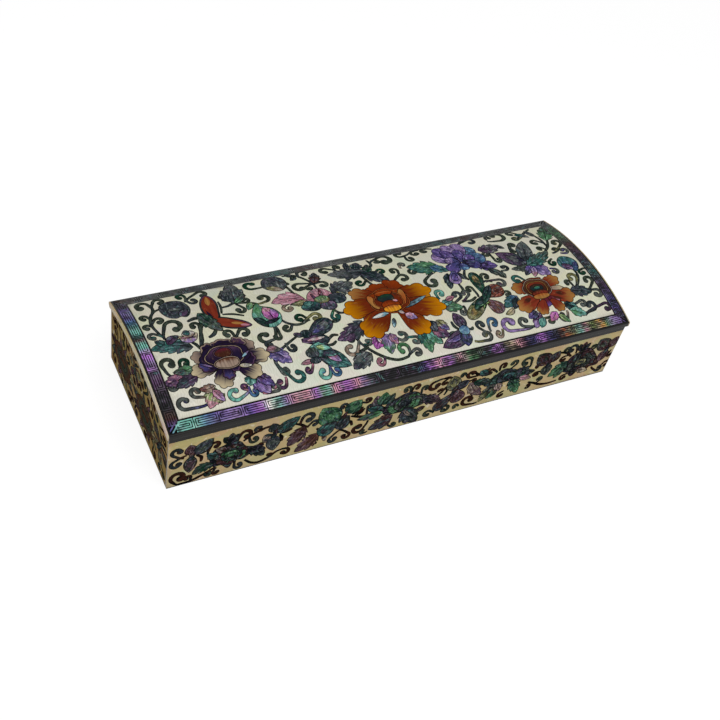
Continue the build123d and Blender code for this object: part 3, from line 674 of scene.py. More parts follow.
def butterflies(d):
    """Five butterflies between the flowers, each made of its own wings."""
    # Above the violet peony
    for tones, inset, line in ((("deep", "plum"), 0, DARK_LINE), (("maroon", "maroon"), 0.6, 0.05)):
        upper = smooth([(-74.4, 9.4), (-76.8, 14), (-77, 19.6), (-75.2, 24.8), (-72.2, 27.6), (-70.2, 24.6),
                        (-69.8, 20), (-70.8, 15.2), (-71.8, 11.4)])
        lower = smooth([(-75.4, 11.8), (-71.2, 11.2), (-66.8, 8.8), (-63, 6.2), (-61, 3.2), (-64.6, 2.6),
                        (-69, 3.4), (-73, 5.6), (-75.2, 8.6)])
        d.inlay(swell(upper, -inset), "petal", tones, (-74, 10), (-71.6, 27.6), line, 3)
        d.inlay(swell(lower, -inset), "petal", tones, (-75, 10), (-61, 3.2), line, 3)
    for x0, y0, x1, y1, width, tone in (
        (-73.4, 20, -72.2, 26.4, 2.2, "ochre"), (-68.6, 6.8, -63.6, 4.8, 1.6, "ochre"),
        (-65.4, 4.6, -61.6, 3.4, 1.4, "rose"), (-74.6, 11.4, -75.6, 17, 1.2, "night"),
    ):
        d.lay(blade((x0, y0), (x1, y1), width), "petal", (tone, tone), (x0, y0), (x1, y1), 3)
    d.leaf(-75.2, 7.6, -74, 3.4, 3, ("olive", "moss"), vein=False, level=3)
    d.leaf(-79.4, 16.4, -73.4, 3.4, 6.2, ("forest", "moss"), 5, -0.04, level=3)
    d.stems((
        (((-85, 12.6), (-82, 13.6), (-79, 13.4)), 1.2), (((-80, 1.2), (-77.6, 2.4), (-75.6, 5)), 1.1),
        (((-68.8, 21.4), (-69, 17.4), (-70.2, 13.4)), 0.5), (((-70, 12.6), (-66, 11.6), (-62, 9.4)), 0.6),
    ))

    # Between the violet and the amber peony
    d.stem(((-56.6, -13.6), (-51, -10.6), (-45.6, -7.8)), width=0.6)
    d.wing(-41, -9.6, -28.4, -2.8, 7.4, ("slate", "deep"), ("indigo", "grey"))
    d.wing(-44.4, -10.6, -33, -12.6, 5.4, ("plum", "deep"), ("plum", "slate"))
    d.leaf(-42.4, -11.2, -34.2, -11, 1.5, ("rose", "snow"), vein=False, level=3)
    d.dots((
        (-41.4, -7.6, 4.6, 4, ("deep", "slate")), (-44.8, -7.4, 3.6, 2.2, ("slate", "plum"), 0, -30),
    ), finish="abalone")
    d.leaves((
        (-40.4, -17.6, -28.8, -26.8, 8, ("slate", "teal")),
        (-37, -18.6, -32.2, -24, 3.4, ("rose", "lilac")),
    ), vein=False, level=3)
    d.leaf(-43.6, -15.2, -33, -20.4, 6.8, ("aqua", "deep"), 3, 0.06, level=3)
    d.leaf(-40, -15, -34, -17, 2.4, ("lime", "aqua"), vein=False, level=3)
    d.dots((
        (-42.6, -17.4, 5.2, 4.8, ("slate", "moss"), 3), (-42.6, -21, 4.6, 2.8, ("slate", "deep")),
    ), finish="abalone")
    d.leaf(-43.4, -20.6, -49.2, -21.4, 2, ("rose", "grey"), vein=False)
    d.stems((
        (((-34.4, -13.6), (-31, -11.2), (-28.6, -11.6)), 0.8),
        (((-37, -14.8), (-33, -15.6), (-30.6, -14.4)), 0.7),
    ))

    # Between the amber and the small peony
    d.wing(46.4, -7, 47.6, 7.2, 5.6, ("forest", "forest"), ("forest", "khaki"))
    d.wing(48, -7.4, 32.6, -18.2, 6.2, ("forest", "olive"), ("forest", "khaki"))
    d.leaf(46, -8.6, 37.6, -14, 3.6, ("deep", "forest"), vein=False, level=3)
    d.wing(46.8, -8.4, 56.4, -5.2, 7.6, ("brown", "russet"), ("russet", "brown"))
    d.wing(45.6, -10.8, 50.4, -18.2, 6.8, ("brown", "mauve"), ("mauve", "brown"))
    d.leaves((
        (46.6, -11.8, 40.8, -12.8, 0.7, ("lime", "green")),
        (44.6, -10.6, 42, -14.8, 0.6, ("lime", "green")),
    ), vein=False, level=3)
    d.leaf(51.4, -2.6, 43, -12.6, 3.6, ("deep", "forest"), level=3)
    d.stem(((49.6, 0), (51.8, 0.2), (54, -1)), width=0.6)

    # Below the amber peony, to its right
    d.leaves((
        (28.2, -22, 26.4, -13.4, 5.4, ("slate", "plum")),
        (29, -22.8, 13.8, -28.6, 6.6, ("slate", "plum"), 0, 0.06),
    ), level=3)
    d.leaf(25.4, -24.6, 17, -26.6, 2.2, ("indigo", "lilac"), 0, 0.06, vein=False, level=3)
    d.leaf(27.2, -23.6, 25.6, -30.4, 5.2, ("slate", "indigo"), level=3)
    d.dot(27.4, -22.8, 4.6, 4.4, ("sky", "blue"), 3, finish="abalone")
    d.stems((
        (((23.4, -17.6), (23.6, -20), (25, -22)), 0.9), (((18.6, -23.6), (21.4, -22.8), (24, -23.6)), 0.8),
        (((29, -22.6), (31, -23.2), (31.8, -22.4)), 0.7),
    ))

    # Above the small peony
    d.leaves((
        (79, 6.2, 67, 17.2, 9.2, ("slate", "plum"), 0, 0.06),
        (77.6, 8, 70.4, 13.4, 3.6, ("night", "grey"), 0, 0.06),
    ), vein=False, level=3)
    d.leaves((
        (79, 6.4, 85.6, 22.2, 7.6, ("slate", "grey"), 0, 0.04),
        (77, 4.6, 92.8, 11.2, 6.6, ("teal", "moss"), 5, -0.05),
    ), level=3)
    d.leaf(79.4, 4.6, 68, 4, 4.4, ("moss", "grey"), 3, 0.08)
    d.leaf(78.6, 4.6, 85, -3.8, 8, ("indigo", "lilac"), 4, vein=False)
    d.leaves((
        (79, 4, 72.6, -1.4, 3.6, ("violet", "slate"), 3), (79.2, 2.6, 76.4, -3.4, 2.8, ("lilac", "pink")),
    ))


def fruits(d):
    """Round fruits and pods, each with the marks on it."""
    d.rounded((
        (-93.2, 22), (-92.2, 26.4), (-88, 28.2), (-83.4, 26.8), (-81.4, 22.4), (-82, 18.4), (-84.2, 15.8),
        (-86.4, 16.6), (-88.8, 16), (-91.6, 17.8),
    ), ("slate", "slate"), (-87.4, 15.8), (-87.4, 28.2))
    d.leaves((
        (-90, 22.4, -83.6, 21.2, 2, ("grey", "slate")), (-86.6, 16.8, -82.6, 20.6, 3.4, ("plum", "slate")),
    ), vein=False)

    d.rounded((
        (-54.4, 15.4), (-57.2, 11.4), (-58.9, 6.6), (-56.9, 1.6), (-52.6, -0.4), (-48.4, 1.8), (-47.2, 6.4),
        (-49.2, 10.6), (-52, 12.2), (-53.4, 13.2),
    ), ("aqua", "green"), (-53, 0), (-53, 14))
    d.leaf(-51, 3.4, -52.6, 12, 5.8, ("magenta", "pink"), 0, -0.05)
    d.leaves((
        (-49.6, 4.2, -49.8, 10.2, 3, ("magenta", "lilac"), 0, -0.05),
        (-58.4, 6.6, -54.6, 0.2, 3.2, ("deep", "forest"), 0, 0.05),
        (-55.6, 2.6, -48.2, 4, 1.8, ("deep", "black"), 0, -0.05),
        (-56, 16.6, -58.8, 12.2, 2.6, ("lime", "green")),
    ), vein=False)

    d.rounded((
        (-46.8, 25.6), (-45.4, 30.2), (-41.6, 32.4), (-37.4, 30.8), (-35.8, 26.6), (-37.6, 22.2),
        (-41, 20.6), (-43.2, 22), (-45.4, 22.8),
    ), ("grey", "slate"), (-41.4, 20.8), (-41.4, 32))
    d.leaf(-45.6, 24.6, -39.4, 20.8, 3.4, ("olive", "tan"), vein=False)

    d.rounded((
        (-91.4, 5), (-90.8, 2.2), (-88, 0.6), (-85.2, 1.8), (-84, 5), (-86.4, 4.4), (-88.4, 3.8),
    ), ("lilac", "sand"), (-88, 0.6), (-88, 5))
    d.leaf(-91, 4, -85, 3, 0.7, ("rose", "plum"), vein=False)
    d.dots((
        (-87.4, 5.4, 5, 3.4, ("tan", "snow")), (-88, 6.2, 2.4, 2.8, ("teal", "slate")),
    ), finish="abalone")

    d.rounded((
        (-32.6, 7.6), (-32, 12.6), (-28.8, 16.2), (-24.6, 17), (-21.4, 14.2), (-20.4, 10), (-22.6, 7),
        (-27, 6),
    ), ("rose", "pink"), (-26.4, 5), (-26, 17))
    d.leaves((
        (-26, 9, -24.6, 17, 1.5, ("rose", "wine")), (-28.4, 8, -29.6, 14.6, 1.1, ("rose", "plum")),
    ), vein=False)
    d.dots((
        (-32.4, 6.6, 8.6, 5.6, ("deep", "teal"), 3), (-20, 8.6, 8.8, 6.4, ("deep", "slate"), 3),
        (-25, 5.2, 7, 5.4, ("slate", "plum"), 3), (-26.2, 9.6, 6.6, 4.4, ("olive", "green"), 3),
        (-33, 8.8, 4.6, 2.4, ("aqua", "teal"), 2),
    ), finish="abalone")

    d.rounded((
        (92.6, 0.6), (93.8, 4), (97, 5.6), (100.6, 4), (102.4, 0.6), (101.2, -3.2), (98.8, -5.2),
        (97.6, -2.8), (95.4, -3.4), (93.6, -2),
    ), ("blue", "teal"), (97.4, -5), (97.4, 5.6))
    d.leaves((
        (94, 0.6, 98.6, -3.6, 3.4, ("plum", "lilac")), (101.6, 0.4, 98.4, -4.6, 2.6, ("indigo", "blue")),
    ), vein=False)


def lid_field():
    """The lid's whole drawing. Curls in its front part are paler, a painted sheen, and more fill what ground
    is left.
    """
    d = Drawing(11)
    for line in LID_STEMS:
        d.stem(line)
    for x, y, cx, cy, radius, sweep, *look in LID_CROOKS:
        tones = look[0] if look else SLATE
        if tones == SLATE and cy < FRONT_PART:
            tones = PALER_SLATE
        d.crook(x, y, cx, cy, radius, sweep, tones, *look[1:])
    d.leaves(LID_LEAVES)
    fruits(d)
    butterflies(d)
    violet_peony(d)
    amber_peony(d)
    small_peony(d)
    iris(d)
    fill(d, -102.9, 102.9, -30.9, 30.9, 2.8, (SLATE, SLATE, GREY, MOSS, TEAL))
    return d


# The base's panels. u runs to the right as each is looked at, and v is the height

# Painted shade: the base panels' pieces take this share of their tones, darker than the lid's on the upright
# faces.
PAINTED_PANEL_SHADE = 0.75
LIVELY = (
    ("forest", "moss"), ("deep", "slate"), ("slate", "plum"), ("forest", "teal"), ("umber", "plum"),
    ("deep", "olive"), ("teal", "green"), ("plum", "rose"), ("indigo", "slate"),
)
# Painted shade: the left end's pieces take these dull, dark tones where the right end's take LIVELY ones.
PAINTED_SHADE_TONES = (("brown", "olive"), ("moss", "umber"), ("brown", "mauve"), ("umber", "olive"), ("brown", "moss"))
DARK_SCROLL = (("deep", "umber"), ("umber", "slate"), ("deep", "moss"), ("black", "umber"))


def wide_peony(d, outline, rim, tones, streaks):
    """A big dark flower spread sideways: overlapping petals round a heart, inside an outline."""
    d.inlay(outline, "abalone", tones, outline[0], outline[len(outline) // 2])
    cx = sum(p[0] for p in outline) / len(outline)
    cy = sum(p[1] for p in outline) / len(outline)
    for ring, shrink in ((len(outline) // 4, 0.78), (len(outline) // 5, 0.5)):
        for k in range(ring):
            x, y = outline[k * len(outline) // ring]
            tip = (cx + (x - cx) * shrink, cy + (y - cy) * shrink)
            base = (cx + (x - cx) * 0.1, cy + (y - cy) * 0.1)
            wide = 0.62 * hypot(tip[0] - cx, tip[1] - cy) + 1.4
            streak = (tones[0], d.random.choice(streaks))
            d.inlay(petal(base, tip, wide), "abalone", streak, base, tip)
    d.dot(cx, cy, 6.4, 4.4, ("black", rim), 4, finish="abalone")
    d.dot(cx, cy - 0.4, 3.4, 2.0, (rim, "deep"), 2, finish="abalone")


FRONT_PEONIES = (
    (
        (
            (-91.5, 11.5), (-90, 17), (-86.6, 18.4), (-83.4, 19.6), (-79.4, 18.4), (-76.8, 14.6),
            (-73.6, 13), (-74.4, 9.4), (-77.6, 7), (-81, 7.2), (-83.4, 3.4), (-86.4, 6.4), (-90, 6.8),
        ),
        "green", ("black", "ink"), ("forest", "umber", "moss", "green"),
    ),
    (
        (
            (-14.6, 14), (-13, 18.4), (-9, 20.6), (-5.4, 22.2), (-1, 22), (3, 19.4), (6.4, 17), (6, 12.6),
            (1, 11), (-4, 10.4), (-9.6, 10.6), (-13, 11.4),
        ),
        "slate", ("black", "ink"), ("slate", "moss", "green"),
    ),
    (
        (
            (36.6, 15.4), (41, 18.4), (44.6, 21.6), (49.6, 20.4), (55, 17.8), (60, 16.8), (63.6, 14.8),
            (58, 12.6), (50, 12.4), (43, 12.2), (37.4, 12.8),
        ),
        "teal", ("black", "ink"), ("slate", "forest", "moss"),
    ),
    (
        (
            (81.4, 12.6), (83, 17.6), (86.6, 20), (92, 21.4), (95.6, 18.6), (99.4, 13.6), (102.4, 8),
            (98, 7.4), (92.4, 7.8), (88.6, 3.4), (85, 6.8), (82, 8.6),
        ),
        "olive", ("black", "umber"), ("umber", "moss", "ink"),
    ),
)
FRONT_WINGS = (
    (-99.2, 18, -100.4, 24.2, 4.8, "umber", "mauve"), (-98.4, 17.6, -91, 25.2, 5.4, "slate", "moss"),
    (-99.6, 17, -100, 7, 4.8, "ink", "mauve"), (-64.6, 19, -66.2, 24.6, 4.2, "ink", "slate"),
    (-64, 18, -54.4, 25, 5.8, "ink", "teal"), (-65, 17.4, -69.4, 14.2, 5.6, "slate", "tan"),
    (-65, 16.6, -64.2, 7, 5.6, "slate", "grey"), (-36.6, 14.4, -44.6, 26.2, 9.6, "forest", "green"),
    (-36.8, 15, -43.8, 9, 8.2, "ink", "teal"), (-32.6, 19, -26.8, 25.6, 7.4, "forest", "green"),
    (-31.8, 17.4, -34.4, 9.4, 6.4, "ink", "slate"), (20.4, 15.6, 17.6, 25.8, 6.4, "ink", "olive"),
    (21.6, 16.6, 27.2, 20, 5, "coal", "slate"), (21.4, 15.6, 24.8, 7, 7.2, "umber", "mauve"),
    (19.8, 13.2, 13, 4.6, 6.8, "umber", "slate"), (70.4, 17.6, 62.6, 25.6, 7.2, "umber", "ink"),
    (71, 18, 74.4, 24.6, 5.6, "umber", "slate"), (69.8, 17, 71.4, 9.6, 5.4, "ink", "moss"),
    (104, 17.6, 97, 25.4, 7, "umber", "moss"), (105, 18, 108, 24.6, 5, "umber", "mauve"),
    (104, 17, 102.4, 9, 5.4, "umber", "mauve"),
)
FRONT_LEAVES = (
    (-90, 8.6, -98.6, 5, 5.4, ("forest", "moss"), 4, -0.1),
    (-75.6, 12.6, -68.2, 5.6, 6, ("black", "slate"), 4, 0.1),
    (-79, 10.4, -82.4, 12.6, 3.6, ("forest", "green"), 0, 0.1),
    (-88.6, 12, -92.8, 15.6, 4.2, ("ink", "teal"), 3),
    (-84.6, 15.6, -89.6, 17.6, 3.4, ("umber", "tan"), 3, 0.1),
    (-83.4, 19.4, -86.6, 23.6, 3.2, ("black", "ink")), (-83.4, 19.4, -83.2, 25.2, 3.2, ("black", "ink")),
    (-83.4, 19.4, -80.4, 23.8, 3.2, ("black", "ink")),
    (-51.6, 17.6, -57.6, 7, 7.4, ("umber", "mauve"), 4, 0.04),
    (-44.4, 10.6, -53.8, 1.8, 7.6, ("brown", "mauve"), 4, 0.06),
    (-41.4, 8.4, -40.4, 4, 1.8, ("umber", "tan")),
    (-16.6, 18.4, -19.6, 25.4, 4.6, ("slate", "mauve"), 3, 0.1),
    (-16.2, 18.6, -15.6, 26.4, 5.6, ("forest", "green"), 4),
    (-15.4, 18.6, -11, 24.4, 4.2, ("forest", "moss"), 3, -0.1),
    (-14.4, 14.4, -22.6, 18.4, 4.6, ("ink", "teal"), 3),
    (-14.4, 13.4, -26.6, 12.6, 4.4, ("green", "slate"), 4),
    (-9, 9.6, -19.6, 3.6, 7.6, ("umber", "slate"), 3, 0.06),
    (-4, 11.6, 4.8, 0.8, 8.6, ("slate", "ink"), 4, -0.06),
    (-3.6, 10.8, 1.6, 5.4, 1.8, ("tan", "grey"), 0, -0.06), (4.6, 16, 14.4, 11.2, 6, ("coal", "mauve"), 4),
    (7, 9.6, 1.8, 7.6, 3, ("umber", "ink")), (28, 18.2, 36.6, 7.6, 5.6, ("tan", "mauve"), 4, -0.06),
    (30, 17.8, 40.2, 15.2, 4.6, ("forest", "ink"), 4), (31.6, 24.6, 36.8, 20.4, 3.6, ("teal", "ink"), 3),
    (42.4, 12.8, 36.8, 2.6, 5.8, ("ink", "olive"), 4), (44, 12.4, 46.6, 6.8, 4.2, ("tan", "mauve"), 3),
    (50.6, 12.2, 57.6, 2, 5.8, ("forest", "green"), 4, 0.06),
    (56, 12.8, 62.8, 10.4, 3.2, ("pink", "tan"), 3), (45.4, 7.6, 40.4, 3.4, 3.2, ("moss", "green"), 3),
    (82, 15.6, 73.6, 7.6, 7.2, ("forest", "green"), 4, 0.05),
    (81, 11.6, 77.6, 5.4, 4, ("moss", "green"), 3), (88, 20.6, 85.4, 25.6, 3, ("black", "ink")),
    (88.2, 20.6, 88.6, 26.4, 3, ("black", "umber")), (88.4, 20.6, 91.6, 25, 3, ("black", "ink")),
    (90.6, 7, 97.4, 4.6, 3.4, ("tan", "sand"), 3),
)
FRONT_CROOKS = (
    (-102.6, 17, -105.4, 21.6, 2.3, -230), (-101.6, 18.4, -105.6, 14.2, 2.3, 235),
    (-104.6, 0.9, -104.4, 5.4, 3.2, -265, 1.7), (-99.4, 1.6, -100.4, 3.4, 1.4, 220),
    (-93, 3.8, -91.8, 2.8, 1.3, 220), (-88.6, 5.4, -88.6, 2.7, 1.3, 200), (-80.6, 6.6, -79, 3.2, 1.8, 235),
    (-92.8, 15.6, -89.8, 20.4, 1.9, -235), (-80.6, 18.8, -77.2, 22.2, 2.5, -240),
    (-70.6, 22.2, -72.2, 23.8, 1.5, -220), (-75.6, 19.6, -73.4, 17.6, 1.8, 235),
    (-71.6, 12.4, -70.4, 13, 1.1, 200), (-66.4, 3, -65.6, 4.4, 1.2, 200),
    (-60.6, 6.2, -58.6, 4.2, 1.9, -240), (-53.6, 19.4, -50.4, 22.6, 2.9, -250, 1.4),
    (-50, 16.4, -47, 18, 1.7, -230), (-44.6, 3.4, -45.6, 4, 1.3, 200), (-34, 8.8, -36.6, 3.6, 1.9, 240),
    (-34, 8.8, -30.6, 3.8, 1.9, -240), (-32.6, 22.6, -34.8, 24.2, 1.5, 220),
    (-21, 10.4, -25.2, 6.4, 2.7, -265, 1.5), (-22, 13.6, -21.6, 19.6, 1.3, -200),
    (-20, 2.6, -22.2, 3.2, 1.2, -200), (-3.4, 22, -5, 24.6, 1.7, 235), (-2.6, 22, -0.4, 24.8, 1.6, -230),
    (3, 19.8, 4.2, 22.6, 1.5, -220), (12.4, 25.8, 9, 22.4, 2.8, 260, 1.3), (15, 25, 14, 22.8, 1.3, 200),
    (11.6, 15, 12.8, 17.8, 1.4, 200), (13, 3.4, 9.6, 3.8, 1.9, 235), (14, 4.6, 18.6, 4, 2.1, -240),
    (26, 3.2, 24.2, 3.6, 1.3, 200), (36, 2.4, 30.2, 5.8, 3, -265, 1.4), (24.8, 23.4, 22.6, 24.8, 1.2, 200),
    (33, 22.6, 27.2, 24, 2.1, -240), (26.4, 18.6, 29.6, 19.2, 1, -200), (15.6, 14.4, 15.6, 18.6, 1, 200),
    (41.4, 20.6, 37.6, 22.2, 1.6, 220), (42.6, 21.4, 43.8, 24.2, 1.7, -230),
    (48.4, 21, 49.4, 24.2, 1.8, 230), (59.6, 18.4, 56.6, 22.8, 2.8, 250, 1.4),
    (49.6, 5.6, 48.4, 3.4, 1.5, 220), (65.6, 18, 64.4, 17.4, 1.1, 200), (62.6, 4, 63.2, 4.6, 1.4, 200),
    (78.6, 21.4, 78.2, 24.2, 1.4, 200), (84.8, 20, 81.8, 23.8, 2.4, 245), (80.6, 19.8, 78.4, 18, 1.6, 220),
    (94, 19.6, 94.8, 21.4, 1.5, 210), (104, 3, 108.2, 6, 2, -240), (99.4, 6.4, 104.6, 3.8, 1.8, 220),
    (107.4, 15.6, 107.6, 12.6, 1.3, 200),
)
FRONT_STEMS = (
    ((-104.6, 1), (-99, 1.2), (-94, 3.2), (-89, 6)), ((-78, 18.4), (-74, 21.4), (-70, 23), (-66.4, 23.6)),
    ((-76.4, 5.6), (-73.4, 2.6), (-70, 1.6), (-66, 3), (-62.6, 5.6), (-60, 6.2)),
    ((-55.6, 20.6), (-53.4, 19.4), (-51.4, 17.6), (-49.6, 16.6)), ((-45.4, 14), (-44, 11.6), (-44.6, 9)),
    ((-30, 16.4), (-26, 14.6), (-22, 13.6)), ((-17, 18.4), (-15, 16.4), (-13.4, 15.6)),
    ((12.4, 25.8), (15, 25.8), (17, 24.8)), ((28, 25.6), (31.6, 22.6), (36.4, 25)),
    ((62.6, 7.4), (66, 5.8), (70, 3.6), (75, 2.6), (80, 3)), ((74.6, 23.4), (79, 22), (82.6, 18.6)),
    ((-97.4, 17), (-95.4, 15.2), (-95.4, 12.4)), ((-97, 17.8), (-95, 17.8), (-92.8, 18.6)),
    ((-62.4, 16.6), (-61.2, 14.6), (-61, 12)), ((-62, 17.4), (-59.6, 17.4), (-57.2, 18.2)),
    ((-29.6, 17.6), (-28, 18.6), (-26.6, 21.4)), ((-28.4, 16.6), (-26.6, 17.8), (-25.4, 20.6)),
    ((-27.2, 16.2), (-25.6, 17.2), (-24.4, 19.4)), ((-31, 13.6), (-29.6, 12.6), (-28.6, 10)),
)


def front_panel():
    """The front panel's drawing: four wide peonies with butterflies and scrolls between them."""
    # A beige ground, darker and yellower than the lid's cream: partly the shell's own tint, partly painted
    # shade.
    d = Drawing(31, "beige", PAINTED_PANEL_SHADE)
    for line in FRONT_STEMS:
        d.stem(line, ("black", "umber"), 0.9)
    for x, y, cx, cy, radius, sweep, *bulb in FRONT_CROOKS:
        d.crook(x, y, cx, cy, radius, sweep, d.random.choice(DARK_SCROLL), *bulb)
    for outline, rim, tones, streaks in FRONT_PEONIES:
        wide_peony(d, smooth(outline), rim, tones, streaks)
    d.leaves(FRONT_LEAVES)
    for x0, y0, x1, y1, width, near, far in FRONT_WINGS:
        pointed = width < 6.3 or y1 > 25
        d.wing(x0, y0, x1, y1, width, (near, far), (far, near), pointed)
    for body_ends in (
        (-100, 14.6, -98.6, 20.2), (-65.4, 14.4, -64, 20.6), (-35.8, 12, -32.4, 20.6),
        (19.8, 12.4, 21.4, 18.6), (70, 14.6, 71.4, 20.4), (103.6, 14.6, 105.2, 20.4),
    ):
        d.leaf(*body_ends, 2, ("deep", "umber"), level=3, vein=False)
    fill(d, -108, 108, 1, 27.6, 2.2, DARK_SCROLL)
    return d


def long_panel(seed, span, top, blooms, moths, ground, tones, dark="night"):
    """A panel in the front one's manner: peonies, butterflies between them, and scrolls round both."""
    d = Drawing(seed, ground, PAINTED_PANEL_SHADE)
    for u, v, wide, tall in blooms:
        outer = [d.random.choice(tones)[0] for _ in range(3)]
        bloom(d, u, v, wide, tall, outer, dark, tones, (outer[0], dark))
    for u, v, size, angle in moths:
        flutter(d, u, v, size, angle, d.random.choice(tones), d.random.choice(tones))
    fill(d, -span, span, 1.0, top(0) - 1.4, 1.7, DARK_SCROLL, lambda x, y: y < top(x) - 2.2)
    return d


# Sheets


def cut_sheet(name, drawing, region, surface, cuts, ground):
    """One closed sheet: its outer face is the drawing, cut where pieces meet, over the region's outline.

    The surface puts a flat point, at a depth, in its place. The cuts are the levels where an arch bends.
    """
    merge, on_cut = 1e-5, 1e-4
    pieces = sorted(drawing.pieces, key=lambda piece: piece[0])
    flat, faces, edges = [], [], []
    for outline in [region] + [piece[1] for piece in pieces]:
        faces.append(list(range(len(flat), len(flat) + len(outline))))
        flat += [Vector(p) for p in outline]
    wide = max(abs(p[0]) for p in region) + 1
    for v in cuts:
        edges.append((len(flat), len(flat) + 1))
        flat += [Vector((-wide, v)), Vector((wide, v))]
    points, _, triangles, _, _, owners = delaunay_2d_cdt(flat, edges, faces, 0, merge)
    kept = [(tri, max(own)) for tri, own in zip(triangles, owners) if 0 in own]

    used = sorted({i for tri, _ in kept for i in tri})
    index = {old: new for new, old in enumerate(used)}
    top = [points[i] for i in used]
    sides = {(a, b) for tri, _ in kept for a, b in zip(tri, tri[1:] + tri[:1])}
    outer = {a: b for a, b in sides if (b, a) not in sides}
    start = min(outer)
    loop = [start]
    while outer[loop[-1]] != start:
        loop.append(outer[loop[-1]])
    ring = [points[i] for i in loop]

    low_edges = []
    for v in cuts:
        level = sorted((i for i, p in enumerate(ring) if abs(p.y - v) < on_cut), key=lambda i: ring[i].x)
        if len(level) > 1:
            low_edges.append((level[0], level[-1]))
    low_points, _, low_triangles, low_from, _, low_owners = delaunay_2d_cdt(
        ring, low_edges, [list(range(len(ring)))], 0, merge
    )

    vertices = [surface(p.x, p.y, 0) for p in top] + [surface(p.x, p.y, SHELL) for p in low_points]
    low_index = {}
    for new, origins in enumerate(low_from):
        for origin in origins:
            low_index[origin] = len(top) + new
    polygons = [[index[i] for i in tri] for tri, _ in kept]
    polygons += [[len(top) + i for i in reversed(tri)] for tri, own in zip(low_triangles, low_owners) if own]
    count = len(loop)
    for k in range(count):
        a, b = loop[k], loop[(k + 1) % count]
        polygons.append([index[b], index[a], low_index[k], low_index[(k + 1) % count]])

    mesh = bpy.data.meshes.new(name)
    mesh.from_pydata(vertices, [], polygons)
    finishes = (ground, "line", "abalone", "petal", "fret", "scroll")
    for finish in finishes:
        mesh.materials.append(MATERIALS[finish])
    near_values, far_values, grain_values, run_values, slots = [], [], [], [], []
    plain = linear(drawing.ground)
    seed_spread = 97
    for number, polygon in enumerate(polygons):
        owner = kept[number][1] - 1 if number < len(kept) else -1
        if owner < 0:
            slots.append(0)
            for i in polygon:
                near_values += plain
                far_values += plain
                grain_values += [0.0, 0.0, 0.0]
                run_values.append(0.0)
            continue
        _, _, finish, tones, base, tip, seed = pieces[owner]
        slots.append(finishes.index(finish))
        if not callable(tones):
            near, far = ([c * drawing.light for c in linear(tone)] for tone in tones)
        along = Vector((tip[0] - base[0], tip[1] - base[1]))
        length = along.length or 1.0
        for i in polygon:
            offset = top[i] - Vector(base)
            share = offset.dot(along) / length
            across = along.cross(offset) / length
            near_values += tones(share) if callable(tones) else near
            far_values += tones(share) if callable(tones) else far
            grain_values += [share, across, seed * seed_spread]
            run_values.append(share / length)
    for label, kind, key, values in (
        ("tone_near", "FLOAT_COLOR", "color", near_values), ("tone_far", "FLOAT_COLOR", "color", far_values),
        ("grain", "FLOAT_VECTOR", "vector", grain_values), ("run", "FLOAT", "value", run_values),
    ):
        mesh.attributes.new(label, kind, "CORNER").data.foreach_set(key, values)
    mesh.polygons.foreach_set("material_index", slots)
    mesh.polygons.foreach_set("use_smooth", [number < len(kept) for number in range(len(polygons))])
    mesh.validate()
    sheet = bpy.data.objects.new(name, mesh)
    bpy.context.collection.objects.link(sheet)
    return sheet


# Materials


